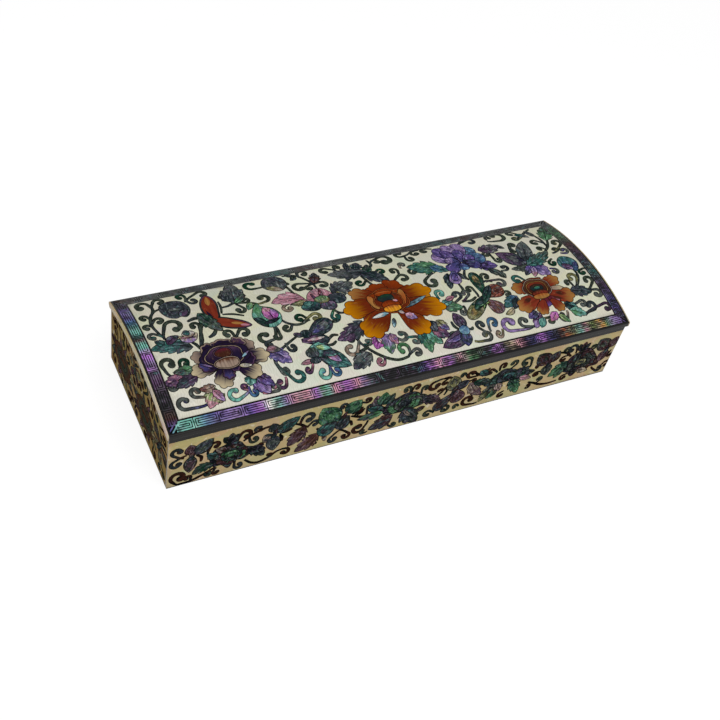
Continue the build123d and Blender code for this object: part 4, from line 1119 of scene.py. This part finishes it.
class Paint:
    """A material built from nodes, with short names for the nodes it uses."""

    def __init__(self, name, **constants):
        self.material = bpy.data.materials.new(name)
        self.material.use_nodes = True
        self.tree = self.material.node_tree
        self.shader = self.tree.nodes["Principled BSDF"]
        for socket, value in constants.items():
            self.shader.inputs[socket.replace("_", " ").title().replace("Ior", "IOR")].default_value = value

    def node(self, kind, settings=(), **inputs):
        node = self.tree.nodes.new("ShaderNode" + kind)
        for key, value in settings:
            setattr(node, key, value)
        for socket, value in inputs.items():
            self.feed(node.inputs[socket], value)
        return node

    def feed(self, socket, value):
        if hasattr(value, "is_output"):
            self.tree.links.new(value, socket)
        else:
            socket.default_value = value

    def place(self, scale=(1, 1, 1)):
        """Object coordinates, which are metres, stretched."""
        spot = self.node("TexCoord").outputs["Object"]
        return self.node("Mapping", Vector=spot, Scale=scale).outputs["Vector"]

    def grain(self, scale=(1, 1, 1)):
        """A piece's own coordinates: along it and across it in millimetres, and its seed."""
        spot = self.node("Attribute", (("attribute_name", "grain"),)).outputs["Vector"]
        return self.node("Mapping", Vector=spot, Scale=scale).outputs["Vector"]

    def tone(self, name):
        return self.node("Attribute", (("attribute_name", name),)).outputs["Color"]

    def share(self):
        return self.node("Attribute", (("attribute_name", "run"),)).outputs["Fac"]

    def noise(self, vector, scale, detail=2.0, distortion=0.0):
        node = self.node("TexNoise", Vector=vector, Scale=scale, Detail=detail, Distortion=distortion)
        return node.outputs["Fac"]

    def waves(self, vector, scale, distortion, detail):
        node = self.node("TexWave", Vector=vector, Scale=scale, Distortion=distortion, Detail=detail)
        return node.outputs["Fac"]

    def spread(self, value, low, high, out_low=0.0, out_high=1.0):
        node = self.node("MapRange", (("interpolation_type", "SMOOTHSTEP"),), Value=value)
        limits = {"From Min": low, "From Max": high, "To Min": out_low, "To Max": out_high}
        for socket, number in limits.items():
            node.inputs[socket].default_value = number
        return node.outputs["Result"]

    def math(self, operation, a, b=0.0):
        node = self.node("Math", (("operation", operation),))
        self.feed(node.inputs[0], a)
        self.feed(node.inputs[1], b)
        return node.outputs[0]

    def times(self, a, b):
        return self.math("MULTIPLY", a, b)

    def sway(self, noise, by):
        """The share along a piece, pushed to and fro by a noise."""
        return self.math("ADD", self.share(), self.times(self.math("SUBTRACT", noise, 0.5), by))

    def mix(self, factor, a, b, blend="MIX"):
        node = self.node("Mix", (("data_type", "RGBA"), ("blend_type", blend)))
        self.feed(node.inputs[0], factor)
        self.feed(node.inputs[6], a)
        self.feed(node.inputs[7], b)
        return node.outputs[2]

    def lighter(self, tone):
        """The tone made about four times as bright where it is dark, and never past white."""
        twice = self.mix(1.0, tone, tone, "SCREEN")
        return self.mix(1.0, twice, twice, "SCREEN")

    def ramp(self, value, stops):
        """Colours read off a scale, in equal steps of smooth change."""
        node = self.node("ValToRGB", Fac=value)
        scale = node.color_ramp
        scale.interpolation = "EASE"
        while len(scale.elements) < len(stops):
            scale.elements.new(0.5)
        for element, (place, colour) in zip(scale.elements, stops):
            element.position = place
            element.color = colour
        return node.outputs["Color"]

    def bump(self, height, strength, distance):
        return self.node("Bump", Height=height, Strength=strength, Distance=distance).outputs["Normal"]

    def finish(self, **inputs):
        for socket, value in inputs.items():
            self.feed(self.shader.inputs[socket.replace("_", " ").title()], value)
        return self.material


def grey(value):
    return (value, value, value, 1.0)


def lacquer(name, shine):
    """Black lacquer, polished but not quite even."""
    p = Paint(name, specular_ior_level=shine)
    cloud = p.noise(p.place(), 90.0, 3.0)
    tone = p.mix(p.spread(cloud, 0.35, 0.7), (0.0035, 0.003, 0.003, 1), (0.009, 0.008, 0.007, 1))
    skin = p.noise(p.place(), 900.0, 2.0)
    rough = p.spread(cloud, 0.3, 0.7, 0.12, 0.24)
    return p.finish(base_color=tone, roughness=rough, normal=p.bump(skin, 0.1, 0.0001))


def pearl(p, value):
    """The colours that pass over shell as it turns from band to band."""
    return p.ramp(value, (
        (0.18, (0.05, 0.30, 0.34, 1)), (0.36, (0.10, 0.30, 0.18, 1)), (0.48, (0.12, 0.14, 0.30, 1)),
        (0.57, (0.34, 0.14, 0.34, 1)), (0.66, (0.08, 0.30, 0.30, 1)), (0.8, (0.50, 0.44, 0.22, 1)),
    ))


def shell_ground(name, base=None, shine=0.08):
    """Pale mother-of-pearl: patches of slightly different tint, growth lines, painted glints and a painted
    sheen.
    """
    p = Paint(name, specular_ior_level=shine)
    base = linear(base) if base else p.tone("tone_near")
    spot = p.place()
    chips = p.node("TexVoronoi", Vector=p.place((1, 1.6, 1.6)), Scale=95.0).outputs["Color"]
    drift = p.noise(spot, 70.0, 4.0, 0.8)
    # Painted sheen: the lid's top is mixed towards a pale tint towards its front and left edges.
    where = p.node("SeparateXYZ", Vector=spot).outputs
    front = p.math("ADD", p.times(where["Y"], -1.0), p.times(where["X"], -0.12))
    pale = p.times(p.spread(front, -0.005, 0.036), p.spread(where["Z"], 0.029, 0.034))
    paler = p.mix(p.times(pale, 0.26), base, (0.84, 0.82, 0.86, 1))
    rose = p.mix(p.spread(drift, 0.56, 0.78, 0.0, 0.14), paler, (0.74, 0.56, 0.52, 1))
    green = p.mix(p.spread(drift, 0.46, 0.26, 0.0, 0.24), rose, (0.48, 0.60, 0.36, 1))
    patch = p.mix(0.08, green, chips, "OVERLAY")
    lines = p.waves(spot, 300.0, 11.0, 3.0)
    grown = p.mix(p.spread(lines, 0.0, 1.0, 0.0, 0.16), patch, (0.34, 0.31, 0.20, 1))
    # Painted glints: small near-white spots mixed into the ground's colour.
    sparkle = p.spread(p.noise(spot, 420.0, 3.0, 1.0), 0.58, 0.74, 0.0, 0.34)
    glint = p.mix(sparkle, grown, (0.90, 0.88, 0.80, 1))
    rough = p.spread(drift, 0.3, 0.7, 0.26, 0.42)
    return p.finish(base_color=glint, roughness=rough, normal=p.bump(lines, 0.05, 0.0001))


def abalone():
    """Abalone: two tones that drift into each other, with bands of other colours and fine growth lines."""
    p = Paint("abalone", specular_ior_level=0.0)
    near, far = p.tone("tone_near"), p.tone("tone_far")
    wander = p.noise(p.grain((0.33, 0.33, 1.0)), 1.0, 3.0, 1.0)
    tone = p.mix(p.spread(p.sway(wander, 2.6), 0.1, 0.9), near, far)
    fire = p.noise(p.grain((0.28, 0.5, 1.0)), 1.0, 3.0, 1.4)
    lit = p.mix(p.spread(fire, 0.5, 0.7, 0.03, 0.42), tone, pearl(p, fire))
    shade = p.noise(p.grain((0.45, 0.6, 3.0)), 1.0, 2.0, 0.6)
    deep = p.mix(p.spread(shade, 0.40, 0.62, 0.0, 0.56), lit, (0.003, 0.005, 0.007, 1))
    growth = p.waves(p.grain((0.6, 2.6, 1.0)), 0.7, 5.0, 2.0)
    lined = p.mix(p.spread(growth, 0.2, 0.9, 0.0, 0.26), deep, (0.002, 0.003, 0.004, 1))
    # Painted glints: flecks of the piece's tone, made lighter and paler, are mixed into its colour.
    glints = p.noise(p.grain((0.4, 1.5, 2.0)), 1.0, 3.0, 0.8)
    sparkle = p.spread(glints, 0.54, 0.7, 0.0, 0.7)
    bright = p.mix(sparkle, lined, p.mix(0.1, p.lighter(tone), (0.8, 0.86, 0.8, 1)))
    return p.finish(base_color=bright, roughness=p.spread(wander, 0.3, 0.7, 0.2, 0.36))


def scroll_shell():
    """The scrolls' dark shell, more even than the leaves'."""
    p = Paint("scroll_shell", specular_ior_level=0.0)
    wander = p.noise(p.grain((0.3, 0.3, 1.0)), 1.0, 2.0, 0.6)
    tone = p.mix(p.spread(p.sway(wander, 1.6), 0.1, 0.9), p.tone("tone_near"), p.tone("tone_far"))
    shade = p.spread(p.noise(p.grain((0.5, 0.5, 2.0)), 1.0, 2.0), 0.36, 0.6, 0.06, 0.6)
    deep = p.mix(shade, tone, (0.004, 0.006, 0.006, 1))
    # Painted glints: flecks of the lighter tone mixed into the scroll's colour.
    sparkle = p.spread(p.noise(p.grain((0.6, 0.9, 3.0)), 1.0, 2.0), 0.6, 0.74, 0.0, 0.36)
    return p.finish(base_color=p.mix(sparkle, deep, p.lighter(tone)), roughness=0.3)


def fret_shell():
    """The border's thin lines of shell, with painted flashes, and with dark gaps in the right half."""
    p = Paint("fret_shell", coat_weight=0.03, coat_roughness=0.1, specular_ior_level=0.12)
    near, far = p.tone("tone_near"), p.tone("tone_far")
    tone = p.mix(p.spread(p.share(), 0.0, 1.0), near, far)
    fire = p.noise(p.place(), 190.0, 3.0, 1.4)
    lit = p.mix(p.spread(fire, 0.5, 0.7, 0.0, 0.4), tone, pearl(p, fire))
    # Where this noise is low the lines are worn dark; where it is high their colour is added to itself, a
    # painted sheen.
    wear_and_sheen = p.noise(p.place(), 420.0, 2.0)
    worn = p.mix(p.spread(wear_and_sheen, 0.34, 0.52, 0.7, 0.0), lit, (0.01, 0.01, 0.012, 1))
    bright = p.mix(p.spread(wear_and_sheen, 0.54, 0.72, 0.0, 0.6), worn, lit, "ADD")
    # Painted flashes: pale spots where the tone is light, mixed into the lines' colour.
    flash = p.noise(p.place((1, 2, 2)), 110.0, 3.0, 0.6)
    flashes = p.spread(flash, 0.5, 0.68, 0.0, 0.7)
    lightness = p.math("POWER", p.node("RGBToBW", Color=tone).outputs["Val"], 0.6)
    strong = p.times(flashes, lightness)
    white = p.mix(strong, bright, p.mix(0.45, tone, (0.86, 0.88, 0.92, 1), "SCREEN"))
    where = p.node("SeparateXYZ", Vector=p.place()).outputs["X"]
    gaps = p.spread(p.noise(p.place((1, 3, 3)), 240.0, 2.0, 0.8), 0.40, 0.54, 0.8, 0.0)
    broken = p.mix(p.times(gaps, p.spread(where, -0.03, 0.0)), white, (0.008, 0.008, 0.01, 1))
    return p.finish(base_color=broken, roughness=0.26)


def petal_paint():
    """A petal's paint: dark at its root, bright at its edge, with fine veins that run to it."""
    p = Paint("petal", specular_ior_level=0.0)
    near, far = p.tone("tone_near"), p.tone("tone_far")
    veins = p.noise(p.grain((0.10, 1.2, 1.0)), 1.0, 2.0)
    tone = p.mix(p.spread(p.sway(veins, 0.7), 0.46, 0.98), near, far)
    shade = p.mix(p.spread(veins, 0.40, 0.64, 0.0, 0.3), tone, (0.02, 0.004, 0.003, 1))
    cloud = p.noise(p.grain((0.5, 0.7, 1.0)), 1.0, 3.0, 1.0)
    lit = p.mix(p.spread(cloud, 0.58, 0.8, 0.0, 0.22), shade, (0.5, 0.3, 0.12, 1), "SCREEN")
    return p.finish(base_color=lit, roughness=0.28)


def velvet():
    """Wine-red velvet."""
    p = Paint("velvet", sheen_weight=0.9, sheen_roughness=0.35, specular_ior_level=0.2)
    nap = p.noise(p.place(), 60.0, 3.0)
    pile = p.noise(p.place(), 2600.0, 2.0)
    tone = p.mix(p.spread(nap, 0.35, 0.65), (0.098, 0.008, 0.013, 1), (0.135, 0.012, 0.018, 1))
    p.shader.inputs["Sheen Tint"].default_value = (0.9, 0.45, 0.45, 1)
    return p.finish(base_color=tone, roughness=0.9, normal=p.bump(pile, 0.6, 0.0002))


def felt():
    """Black felt."""
    p = Paint("felt", sheen_weight=0.4, specular_ior_level=0.2)
    fibre = p.noise(p.place((1, 1, 3)), 1800.0, 4.0, 1.0)
    tone = p.mix(p.spread(fibre, 0.35, 0.65), (0.006, 0.006, 0.007, 1), (0.03, 0.028, 0.028, 1))
    return p.finish(base_color=tone, roughness=0.95, normal=p.bump(fibre, 0.5, 0.0002))


def metal(name, dark, light, rough):
    """Brushed metal whose tone drifts between a dark and a light one."""
    p = Paint(name, metallic=1.0)
    brushed = p.noise(p.place((0.05, 1, 1)), 3000.0, 2.0)
    cloud = p.noise(p.place(), 300.0, 3.0)
    tone = p.mix(p.spread(cloud, 0.3, 0.7), dark, light)
    return p.finish(base_color=tone, roughness=p.spread(brushed, 0.3, 0.7, rough, rough + 0.14))


MATERIALS = {
    "ground": shell_ground("shell_ground"), "end_ground": shell_ground("end_ground", shine=0.0),
    "strip": shell_ground("edge_shell", "beige"),
    "line": lacquer("inlay_line", 0.0), "lacquer": lacquer("lacquer", 0.14),
    "abalone": abalone(), "petal": petal_paint(), "fret": fret_shell(), "scroll": scroll_shell(),
    "velvet": velvet(), "felt": felt(),
    "brass": metal("brass", (0.42, 0.24, 0.07, 1), (0.72, 0.48, 0.18, 1), 0.22),
    "steel": metal("steel", (0.32, 0.32, 0.33, 1), (0.58, 0.58, 0.6, 1), 0.25),
}

# Where the sheets go


def over_arch(x, y, depth):
    """A point of the lid's drawing on its arch, so far below the surface."""
    return (x * MM, y * MM, (ARCH_CENTRE + sqrt((ARCH_RADIUS - depth) ** 2 - y * y)) * MM)


def rect(x0, x1, y0, y1):
    return [(x0, y0), (x1, y0), (x1, y1), (x0, y1)]


def arch_cuts(low, high, step=3.0):
    """Levels between low and high, less than a step apart."""
    count = int((high - low) / step)
    return [low + (high - low) * (i + 1) / (count + 1) for i in range(count)]


def place_sheet(name, node, body, drawing, region, surface, cuts, ground="ground"):
    """The drawing as a sheet that stands for a node and moves with its body."""
    sheet = cut_sheet(name, drawing, region, surface, cuts, ground)
    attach(sheet, body)
    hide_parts(node)


def square_line(points, width):
    """A band of one width along a line that turns only at right angles."""
    left, right = [], []
    half = width / 2
    last = len(points) - 1
    for i, (x, y) in enumerate(points):
        steps = []
        for a, b in ((i - 1, i), (i, i + 1)):
            if a >= 0 and b <= last:
                run = (points[b][0] - points[a][0], points[b][1] - points[a][1])
                length = hypot(*run)
                steps.append((run[0] / length, run[1] / length))
        straight = 1 + steps[0][0] * steps[-1][0] + steps[0][1] * steps[-1][1] if len(steps) > 1 else 1
        off = (-sum(s[1] for s in steps) / straight, sum(s[0] for s in steps) / straight)
        end = 0.0 if 0 < i < last else (half if i == last else -half)
        along = steps[0] if end else (0.0, 0.0)
        left.append((x + off[0] * half + along[0] * end, y + off[1] * half + along[1] * end))
        right.append((x - off[0] * half + along[0] * end, y - off[1] * half + along[1] * end))
    return left + right[::-1]


def in_steps(points, step):
    """The same line with more points on it, about a step apart."""
    out = [points[0]]
    for (ax, ay), (bx, by) in zip(points, points[1:]):
        parts = max(1, round(hypot(bx - ax, by - ay) / step))
        out += [(ax + (bx - ax) * k / parts, ay + (by - ay) * k / parts) for k in range(1, parts + 1)]
    return out


def between(stops):
    """The colour at any place along a strip, from tones at a few places."""
    places = [stop[0] for stop in stops]
    bands = np.array([linear(stop[1]) for stop in stops])
    return lambda u: [float(np.interp(u, places, bands[:, c])) for c in range(4)]


def fret(length, stops, seed, pitch=9.75):
    """Square spirals of coloured shell on black. u runs along the strip, v from its outer edge."""
    line, gap, corner_gap, turn = 0.5, 0.42, 2.6, 0.9
    first_row, row_step = 0.36, 0.87
    d = Drawing(seed, "black")
    half = length / 2
    count = round(length / pitch)
    pitch = length / count
    rows = [first_row + row_step * i for i in range(5)]
    tone = between(stops)
    d.lay(rect(-half, half, 0, BORDER), "line", level=0)
    for i in range(count):
        u0, u1 = -half + i * pitch + gap, -half + (i + 1) * pitch - gap
        if i == 0:
            u0 += corner_gap
        if i == count - 1:
            u1 -= corner_gap
        if i % 2:
            u0, u1 = u1, u0
        way = turn if u1 > u0 else -turn
        spiral = [
            (u0, rows[0]), (u1, rows[0]), (u1, rows[4]), (u0, rows[4]), (u0, rows[1]),
            (u1 - way, rows[1]), (u1 - way, rows[3]), (u0 + way, rows[3]), (u0 + way, rows[2]),
            (u1 - 2 * way, rows[2]),
        ]
        d.lay(square_line(in_steps(spiral, 1.3), line), "fret", tone, level=1)
    for side in (-1, 1):
        slant = [(side * (half - inset), v) for inset, v in ((0.7, 0.2), (4.5, 4.0), (5.2, 4.0), (1.4, 0.2))]
        d.lay(slant, "fret", tone, level=1)
    return d


def moved(drawing, move):
    """The drawing with every outline and axis carried over by move."""
    pieces = []
    for order, outline, finish, tones, base, tip, seed in drawing.pieces:
        outline = [move(*p) for p in outline]
        if area(outline) < 0:
            outline = outline[::-1]
        pieces.append((order, outline, finish, tones, move(*base), move(*tip), seed))
    drawing.pieces = pieces
    return drawing


field_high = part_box("lid_shell_field")[1]
field_x, field_y = field_high.x / MM, field_high.y / MM
place_sheet(
    "field_inlay", "lid_shell_field", "lid", lid_field(), rect(-field_x, field_x, -field_y, field_y),
    over_arch, arch_cuts(-field_y, field_y),
)

front_low, front_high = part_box("lid_front_border")
outer_x, outer_y = front_high.x / MM, -front_low.y / MM
inner_x, inner_y = outer_x - BORDER, outer_y - BORDER
FRONT_STOPS = (
    (-109, "indigo"), (-105, "aqua"), (-98, "aqua"), (-94, "blue"), (-89, "violet"), (-82, "lilac"),
    (-76, "violet"), (-71, "orchid"), (-68, "snow"), (-64, "aqua"), (-61, "lilac"), (-57, "pink"),
    (-51, "pink"), (-48, "orchid"), (-45, "green"), (-42, "aqua"), (-40, "pink"), (-34, "orchid"),
    (-29, "pink"), (-27, "lilac"), (-24, "slate"), (-20, "coal"), (-2, "coal"), (2, "indigo"),
    (5, "orchid"), (9, "pink"), (14, "orchid"), (17, "moss"), (20, "pink"), (24, "green"), (30, "moss"),
    (35, "coal"), (39, "orchid"), (42, "coal"), (46, "sand"), (50, "pink"), (53, "night"), (58, "indigo"),
    (62, "orchid"), (66, "indigo"), (71, "coal"), (75, "copper"), (79, "olive"), (83, "aqua"), (86, "rose"),
    (90, "lime"), (95, "amber"), (98, "green"), (102, "lilac"), (109, "violet"),
)
LEFT_STOPS = (
    (-37, "coal"), (-30, "night"), (-27, "violet"), (-22, "violet"), (-19, "blue"), (-16, "teal"),
    (-13, "aqua"), (-10, "teal"), (-8.5, "forest"), (-7, "wine"), (-5.5, "aqua"), (-3, "aqua"),
    (-1, "lilac"), (2, "orchid"), (5, "lilac"), (7, "night"), (8.5, "orchid"), (10, "night"), (13, "plum"),
    (17, "plum"), (21, "coal"), (27, "coal"), (31, "umber"), (35, "indigo"),
)
BACK_TONES = ("grey", "slate", "moss", "grey", "umber", "teal", "slate")
BACK_STOPS = tuple((u, BACK_TONES[i % len(BACK_TONES)]) for i, u in enumerate(range(-108, 109, 12)))
RIGHT_STOPS = (
    (-37, "plum"), (-25, "indigo"), (-15, "plum"), (-8, "teal"), (4, "plum"), (14, "umber"), (22, "green"),
    (33, "slate"),
)
SIDE_CUTS = arch_cuts(-inner_y, inner_y)
for side, drawing, move, corners, cuts in (
    ("front", fret(2 * outer_x, FRONT_STOPS, 21), lambda u, v: (u, v - outer_y),
     ((-outer_x, -outer_y), (outer_x, -outer_y), (inner_x, -inner_y), (-inner_x, -inner_y)),
     arch_cuts(-outer_y, -inner_y)),
    ("back", fret(2 * outer_x, BACK_STOPS, 22), lambda u, v: (-u, outer_y - v),
     ((-inner_x, inner_y), (inner_x, inner_y), (outer_x, outer_y), (-outer_x, outer_y)),
     arch_cuts(inner_y, outer_y)),
    ("left", fret(2 * outer_y, LEFT_STOPS, 23), lambda u, v: (v - outer_x, -u),
     ((-outer_x, outer_y), (-outer_x, -outer_y), (-inner_x, -inner_y), (-inner_x, inner_y)), SIDE_CUTS),
    ("right", fret(2 * outer_y, RIGHT_STOPS, 24), lambda u, v: (outer_x - v, u),
     ((outer_x, -outer_y), (outer_x, outer_y), (inner_x, inner_y), (inner_x, -inner_y)), SIDE_CUTS),
):
    place_sheet(
        side + "_border_inlay", "lid_" + side + "_border", "lid", moved(drawing, move), list(corners),
        over_arch, cuts,
    )


def upright(node, normal):
    """The region of a base panel as it is looked at, and how its drawing goes onto it."""
    low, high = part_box(node)
    if normal in ("front", "back"):
        way = 1 if normal == "front" else -1
        face = low.y if normal == "front" else high.y
        region = rect(low.x / MM, high.x / MM, low.z / MM, high.z / MM)
        return region, lambda u, v, depth: (way * u * MM, face + way * depth * MM, v * MM)
    way = 1 if normal == "left" else -1
    face = low.x if normal == "left" else high.x
    back = high.y / MM
    front = low.y / MM
    bevel_from = PIN_Y + 0.01
    steps = 24
    arc = [front + (bevel_from - front) * i / steps for i in range(steps + 1)]
    profile = [(front, low.z / MM)] + [(y, ARCH_CENTRE + sqrt(SEAT_RADIUS**2 - y * y)) for y in arc]
    profile += [(back, PIN_Z - (back - PIN_Y) * tan(radians(BASE_BEVEL))), (back, low.z / MM)]
    region = [(-way * y, z) for y, z in profile]
    if area(region) < 0:
        region = region[::-1]
    return region, lambda u, v, depth: (face + way * depth * MM, -way * u * MM, v * MM)


def level_top(u):
    """The height that the back panel's drawing may reach."""
    return 29.0


def seat_top(u):
    """The height of an end panel's arched top."""
    return ARCH_CENTRE + sqrt(SEAT_RADIUS**2 - u * u)


BACK_BLOOMS = ((-80, 13, 33, 22), (-20, 13, 36, 22), (42, 13, 34, 22), (92, 13, 28, 21))
BACK_MOTHS = ((-104, 16, 13, 90), (-50, 16, 18, 70), (12, 16, 18, 100), (67, 16, 17, 80))
END_BLOOMS = ((-21, 14, 30, 21), (9, 13, 30, 20))
END_MOTHS = ((-5, 26, 11, 90), (27, 16, 15, 60))
# The panels' beige and khaki grounds are darker and yellower than the lid's cream: partly the shell's own
# tint, partly painted shade, deepest on the ends.
for side, drawing in (
    ("front", front_panel()),
    ("back", long_panel(41, 108, level_top, BACK_BLOOMS, BACK_MOTHS, "beige", LIVELY)),
    # The left end: painted shade in its dull tones.
    ("left", long_panel(42, 34.5, seat_top, END_BLOOMS, END_MOTHS, "khaki", PAINTED_SHADE_TONES, "moss")),
    ("right", long_panel(43, 34.5, seat_top, END_BLOOMS, END_MOTHS, "khaki", LIVELY)),
):
    node = side + "_shell_panel"
    region, surface = upright(node, side)
    ground = "ground" if side in ("front", "back") else "end_ground"
    place_sheet(side + "_panel_inlay", node, "base", drawing, region, surface, (), ground)


def soft_block(name, node, body, material, top=None, bottom=None):
    """A lining in its solid's place, with eased edges. Its top and bottom may follow an arch."""
    ease, row_depth = 0.35, 4
    low, high = (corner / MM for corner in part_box(node))
    rows = max(1, round((high.y - low.y) / row_depth)) if top or bottom else 1
    ys = [low.y + (high.y - low.y) * i / rows for i in range(rows + 1)]

    def lift(radius, y, level):
        return ARCH_CENTRE + sqrt(radius**2 - y * y) if radius else level

    loops = []
    for y in ys:
        z0, z1 = lift(bottom, y, low.z), lift(top, y, high.z)
        corners = ((low.x, z0), (high.x, z0), (high.x, z1), (low.x, z1))
        loops.append([(x * MM, y * MM, z * MM) for x, z in corners])
    vertices = [p for loop in loops for p in loop]
    faces = [(0, 1, 2, 3), tuple(4 * rows + k for k in (3, 2, 1, 0))]
    for i in range(rows):
        faces += [(4 * i + k, 4 * i + 4 + k, 4 * i + 4 + (k + 1) % 4, 4 * i + (k + 1) % 4) for k in range(4)]
    mesh = bpy.data.meshes.new(name)
    mesh.from_pydata(vertices, [], faces)
    mesh.materials.append(MATERIALS[material])
    mesh.polygons.foreach_set("use_smooth", [True] * len(faces))
    piece = bpy.data.objects.new(name, mesh)
    bpy.context.collection.objects.link(piece)
    soft = piece.modifiers.new("soft edge", "BEVEL")
    soft.width = min(ease, 0.42 * min(high - low)) * MM
    soft.segments = 3
    soft.limit_method = "ANGLE"
    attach(piece, body)
    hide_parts(node)
    return piece, (high - low)


for name, node, body, material, top, bottom, held in (
    ("floor_velvet", "floor_lining", "base", "velvet", None, None, "stretched"),
    ("front_velvet", "front_wall_lining", "base", "velvet", LINING_TOP, None, "stretched"),
    ("back_velvet", "back_wall_lining", "base", "velvet", LINING_TOP, None, "stretched"),
    ("left_velvet", "left_wall_lining", "base", "velvet", LINING_TOP, None, "stretched"),
    ("right_velvet", "right_wall_lining", "base", "velvet", LINING_TOP, None, "stretched"),
    ("lid_velvet", "lid_lining", "lid", "velvet", LID_UNDER, LID_UNDER - LID_LINING, "stretched"),
    ("base_felt", "underside_felt", "base", "felt", None, None, "laid"),
):
    piece, size = soft_block(name, node, body, material, top, bottom)

# Nodes that no piece here replaces keep their shapes, with a finish for each of their slots
SLOT_FINISH = {
    "black_lacquer": "lacquer", "shell": "strip", "fret_shell": "lacquer", "velvet": "velvet", "felt": "felt",
    "brass": "brass", "steel": "steel",
}
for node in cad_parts.values():
    for material_slot in node.material_slots:
        key = material_slot.material.name.split(".")[0]
        material_slot.material = MATERIALS[SLOT_FINISH.get(key, "lacquer")]

# Camera, floor and light. The camera was found from eight corners of the case

CAMERA_PLACE = Vector((-0.198873, -0.264602, 0.337485))
CAMERA_AIM = Vector((-0.014535, -0.011686, 0.020))
CAMERA_ROLL = radians(14.221)
CAMERA_LENS = 51.592
SENSOR_WIDTH = 36.0
FLOOR_REACH = 3


def add(name, data):
    """A new object in the scene."""
    thing = bpy.data.objects.new(name, data)
    bpy.context.collection.objects.link(thing)
    return thing


def look(thing, place, aim, roll=0.0):
    """Puts a thing in its place, facing the aim."""
    thing.location = place
    thing.rotation_mode = "QUATERNION"
    thing.rotation_quaternion = (aim - place).to_track_quat("-Z", "Y") @ Quaternion((0, 0, 1), roll)


def seen_directly(tree):
    """A value that is 1 for camera, transmission and glossy rays, and 0 for light that falls on things."""
    rays = tree.nodes.new("ShaderNodeLightPath")
    shown = rays.outputs["Is Camera Ray"]
    for kind in ("Is Transmission Ray", "Is Glossy Ray"):
        either = tree.nodes.new("ShaderNodeMath")
        either.operation = "MAXIMUM"
        tree.links.new(shown, either.inputs[0])
        tree.links.new(rays.outputs[kind], either.inputs[1])
        shown = either.outputs[0]
    return shown


camera_data = bpy.data.cameras.new("camera")
camera_data.lens = CAMERA_LENS
camera_data.sensor_width = SENSOR_WIDTH
camera = add("camera", camera_data)
look(camera, CAMERA_PLACE, CAMERA_AIM, CAMERA_ROLL)
bpy.context.scene.camera = camera

floor_mesh = bpy.data.meshes.new("floor")
floor_corners = [(x, y, 0) for x, y in rect(-FLOOR_REACH, FLOOR_REACH, -FLOOR_REACH, FLOOR_REACH)]
floor_mesh.from_pydata(floor_corners, [], [(0, 1, 2, 3)])
floor = add("floor", floor_mesh)
floor_paint = Paint("floor", specular_ior_level=0.2)
glow = floor_paint.node("Emission", Color=grey(1.0), Strength=1.16)
seen = seen_directly(floor_paint.tree)
backdrop = floor_paint.node("MixShader")
floor_paint.feed(backdrop.inputs[0], floor_paint.times(seen, 0.72))
floor_mesh.materials.append(floor_paint.finish(base_color=grey(0.86), roughness=0.7))
floor_paint.feed(backdrop.inputs[1], floor_paint.shader.outputs[0])
floor_paint.feed(backdrop.inputs[2], glow.outputs[0])
floor_paint.feed(floor_paint.tree.nodes["Material Output"].inputs["Surface"], backdrop.outputs[0])

for name, place, power in (("key", (-0.05, -0.5, 1.0), 6.6), ("fill", (-0.5, -0.5, 0.8), 0.8)):
    lamp = bpy.data.lights.new(name, "AREA")
    lamp.energy = power
    lamp.size = 0.8
    look(add(name, lamp), Vector(place), Vector((0, 0, 0.02)))

world = bpy.data.worlds.new("studio")
bpy.context.scene.world = world
world.use_nodes = True
sky = world.node_tree
soft_light = sky.nodes["Background"]
soft_light.inputs["Color"].default_value = grey(0.9)
soft_light.inputs["Strength"].default_value = 0.42
white = sky.nodes.new("ShaderNodeBackground")
white.inputs["Color"].default_value = grey(1.0)
shown = seen_directly(sky)
choice = sky.nodes.new("ShaderNodeMixShader")
sky.links.new(shown, choice.inputs[0])
sky.links.new(soft_light.outputs[0], choice.inputs[1])
sky.links.new(white.outputs[0], choice.inputs[2])
sky.links.new(choice.outputs[0], sky.nodes["World Output"].inputs["Surface"])
bpy.context.scene.view_settings.view_transform = "Standard"
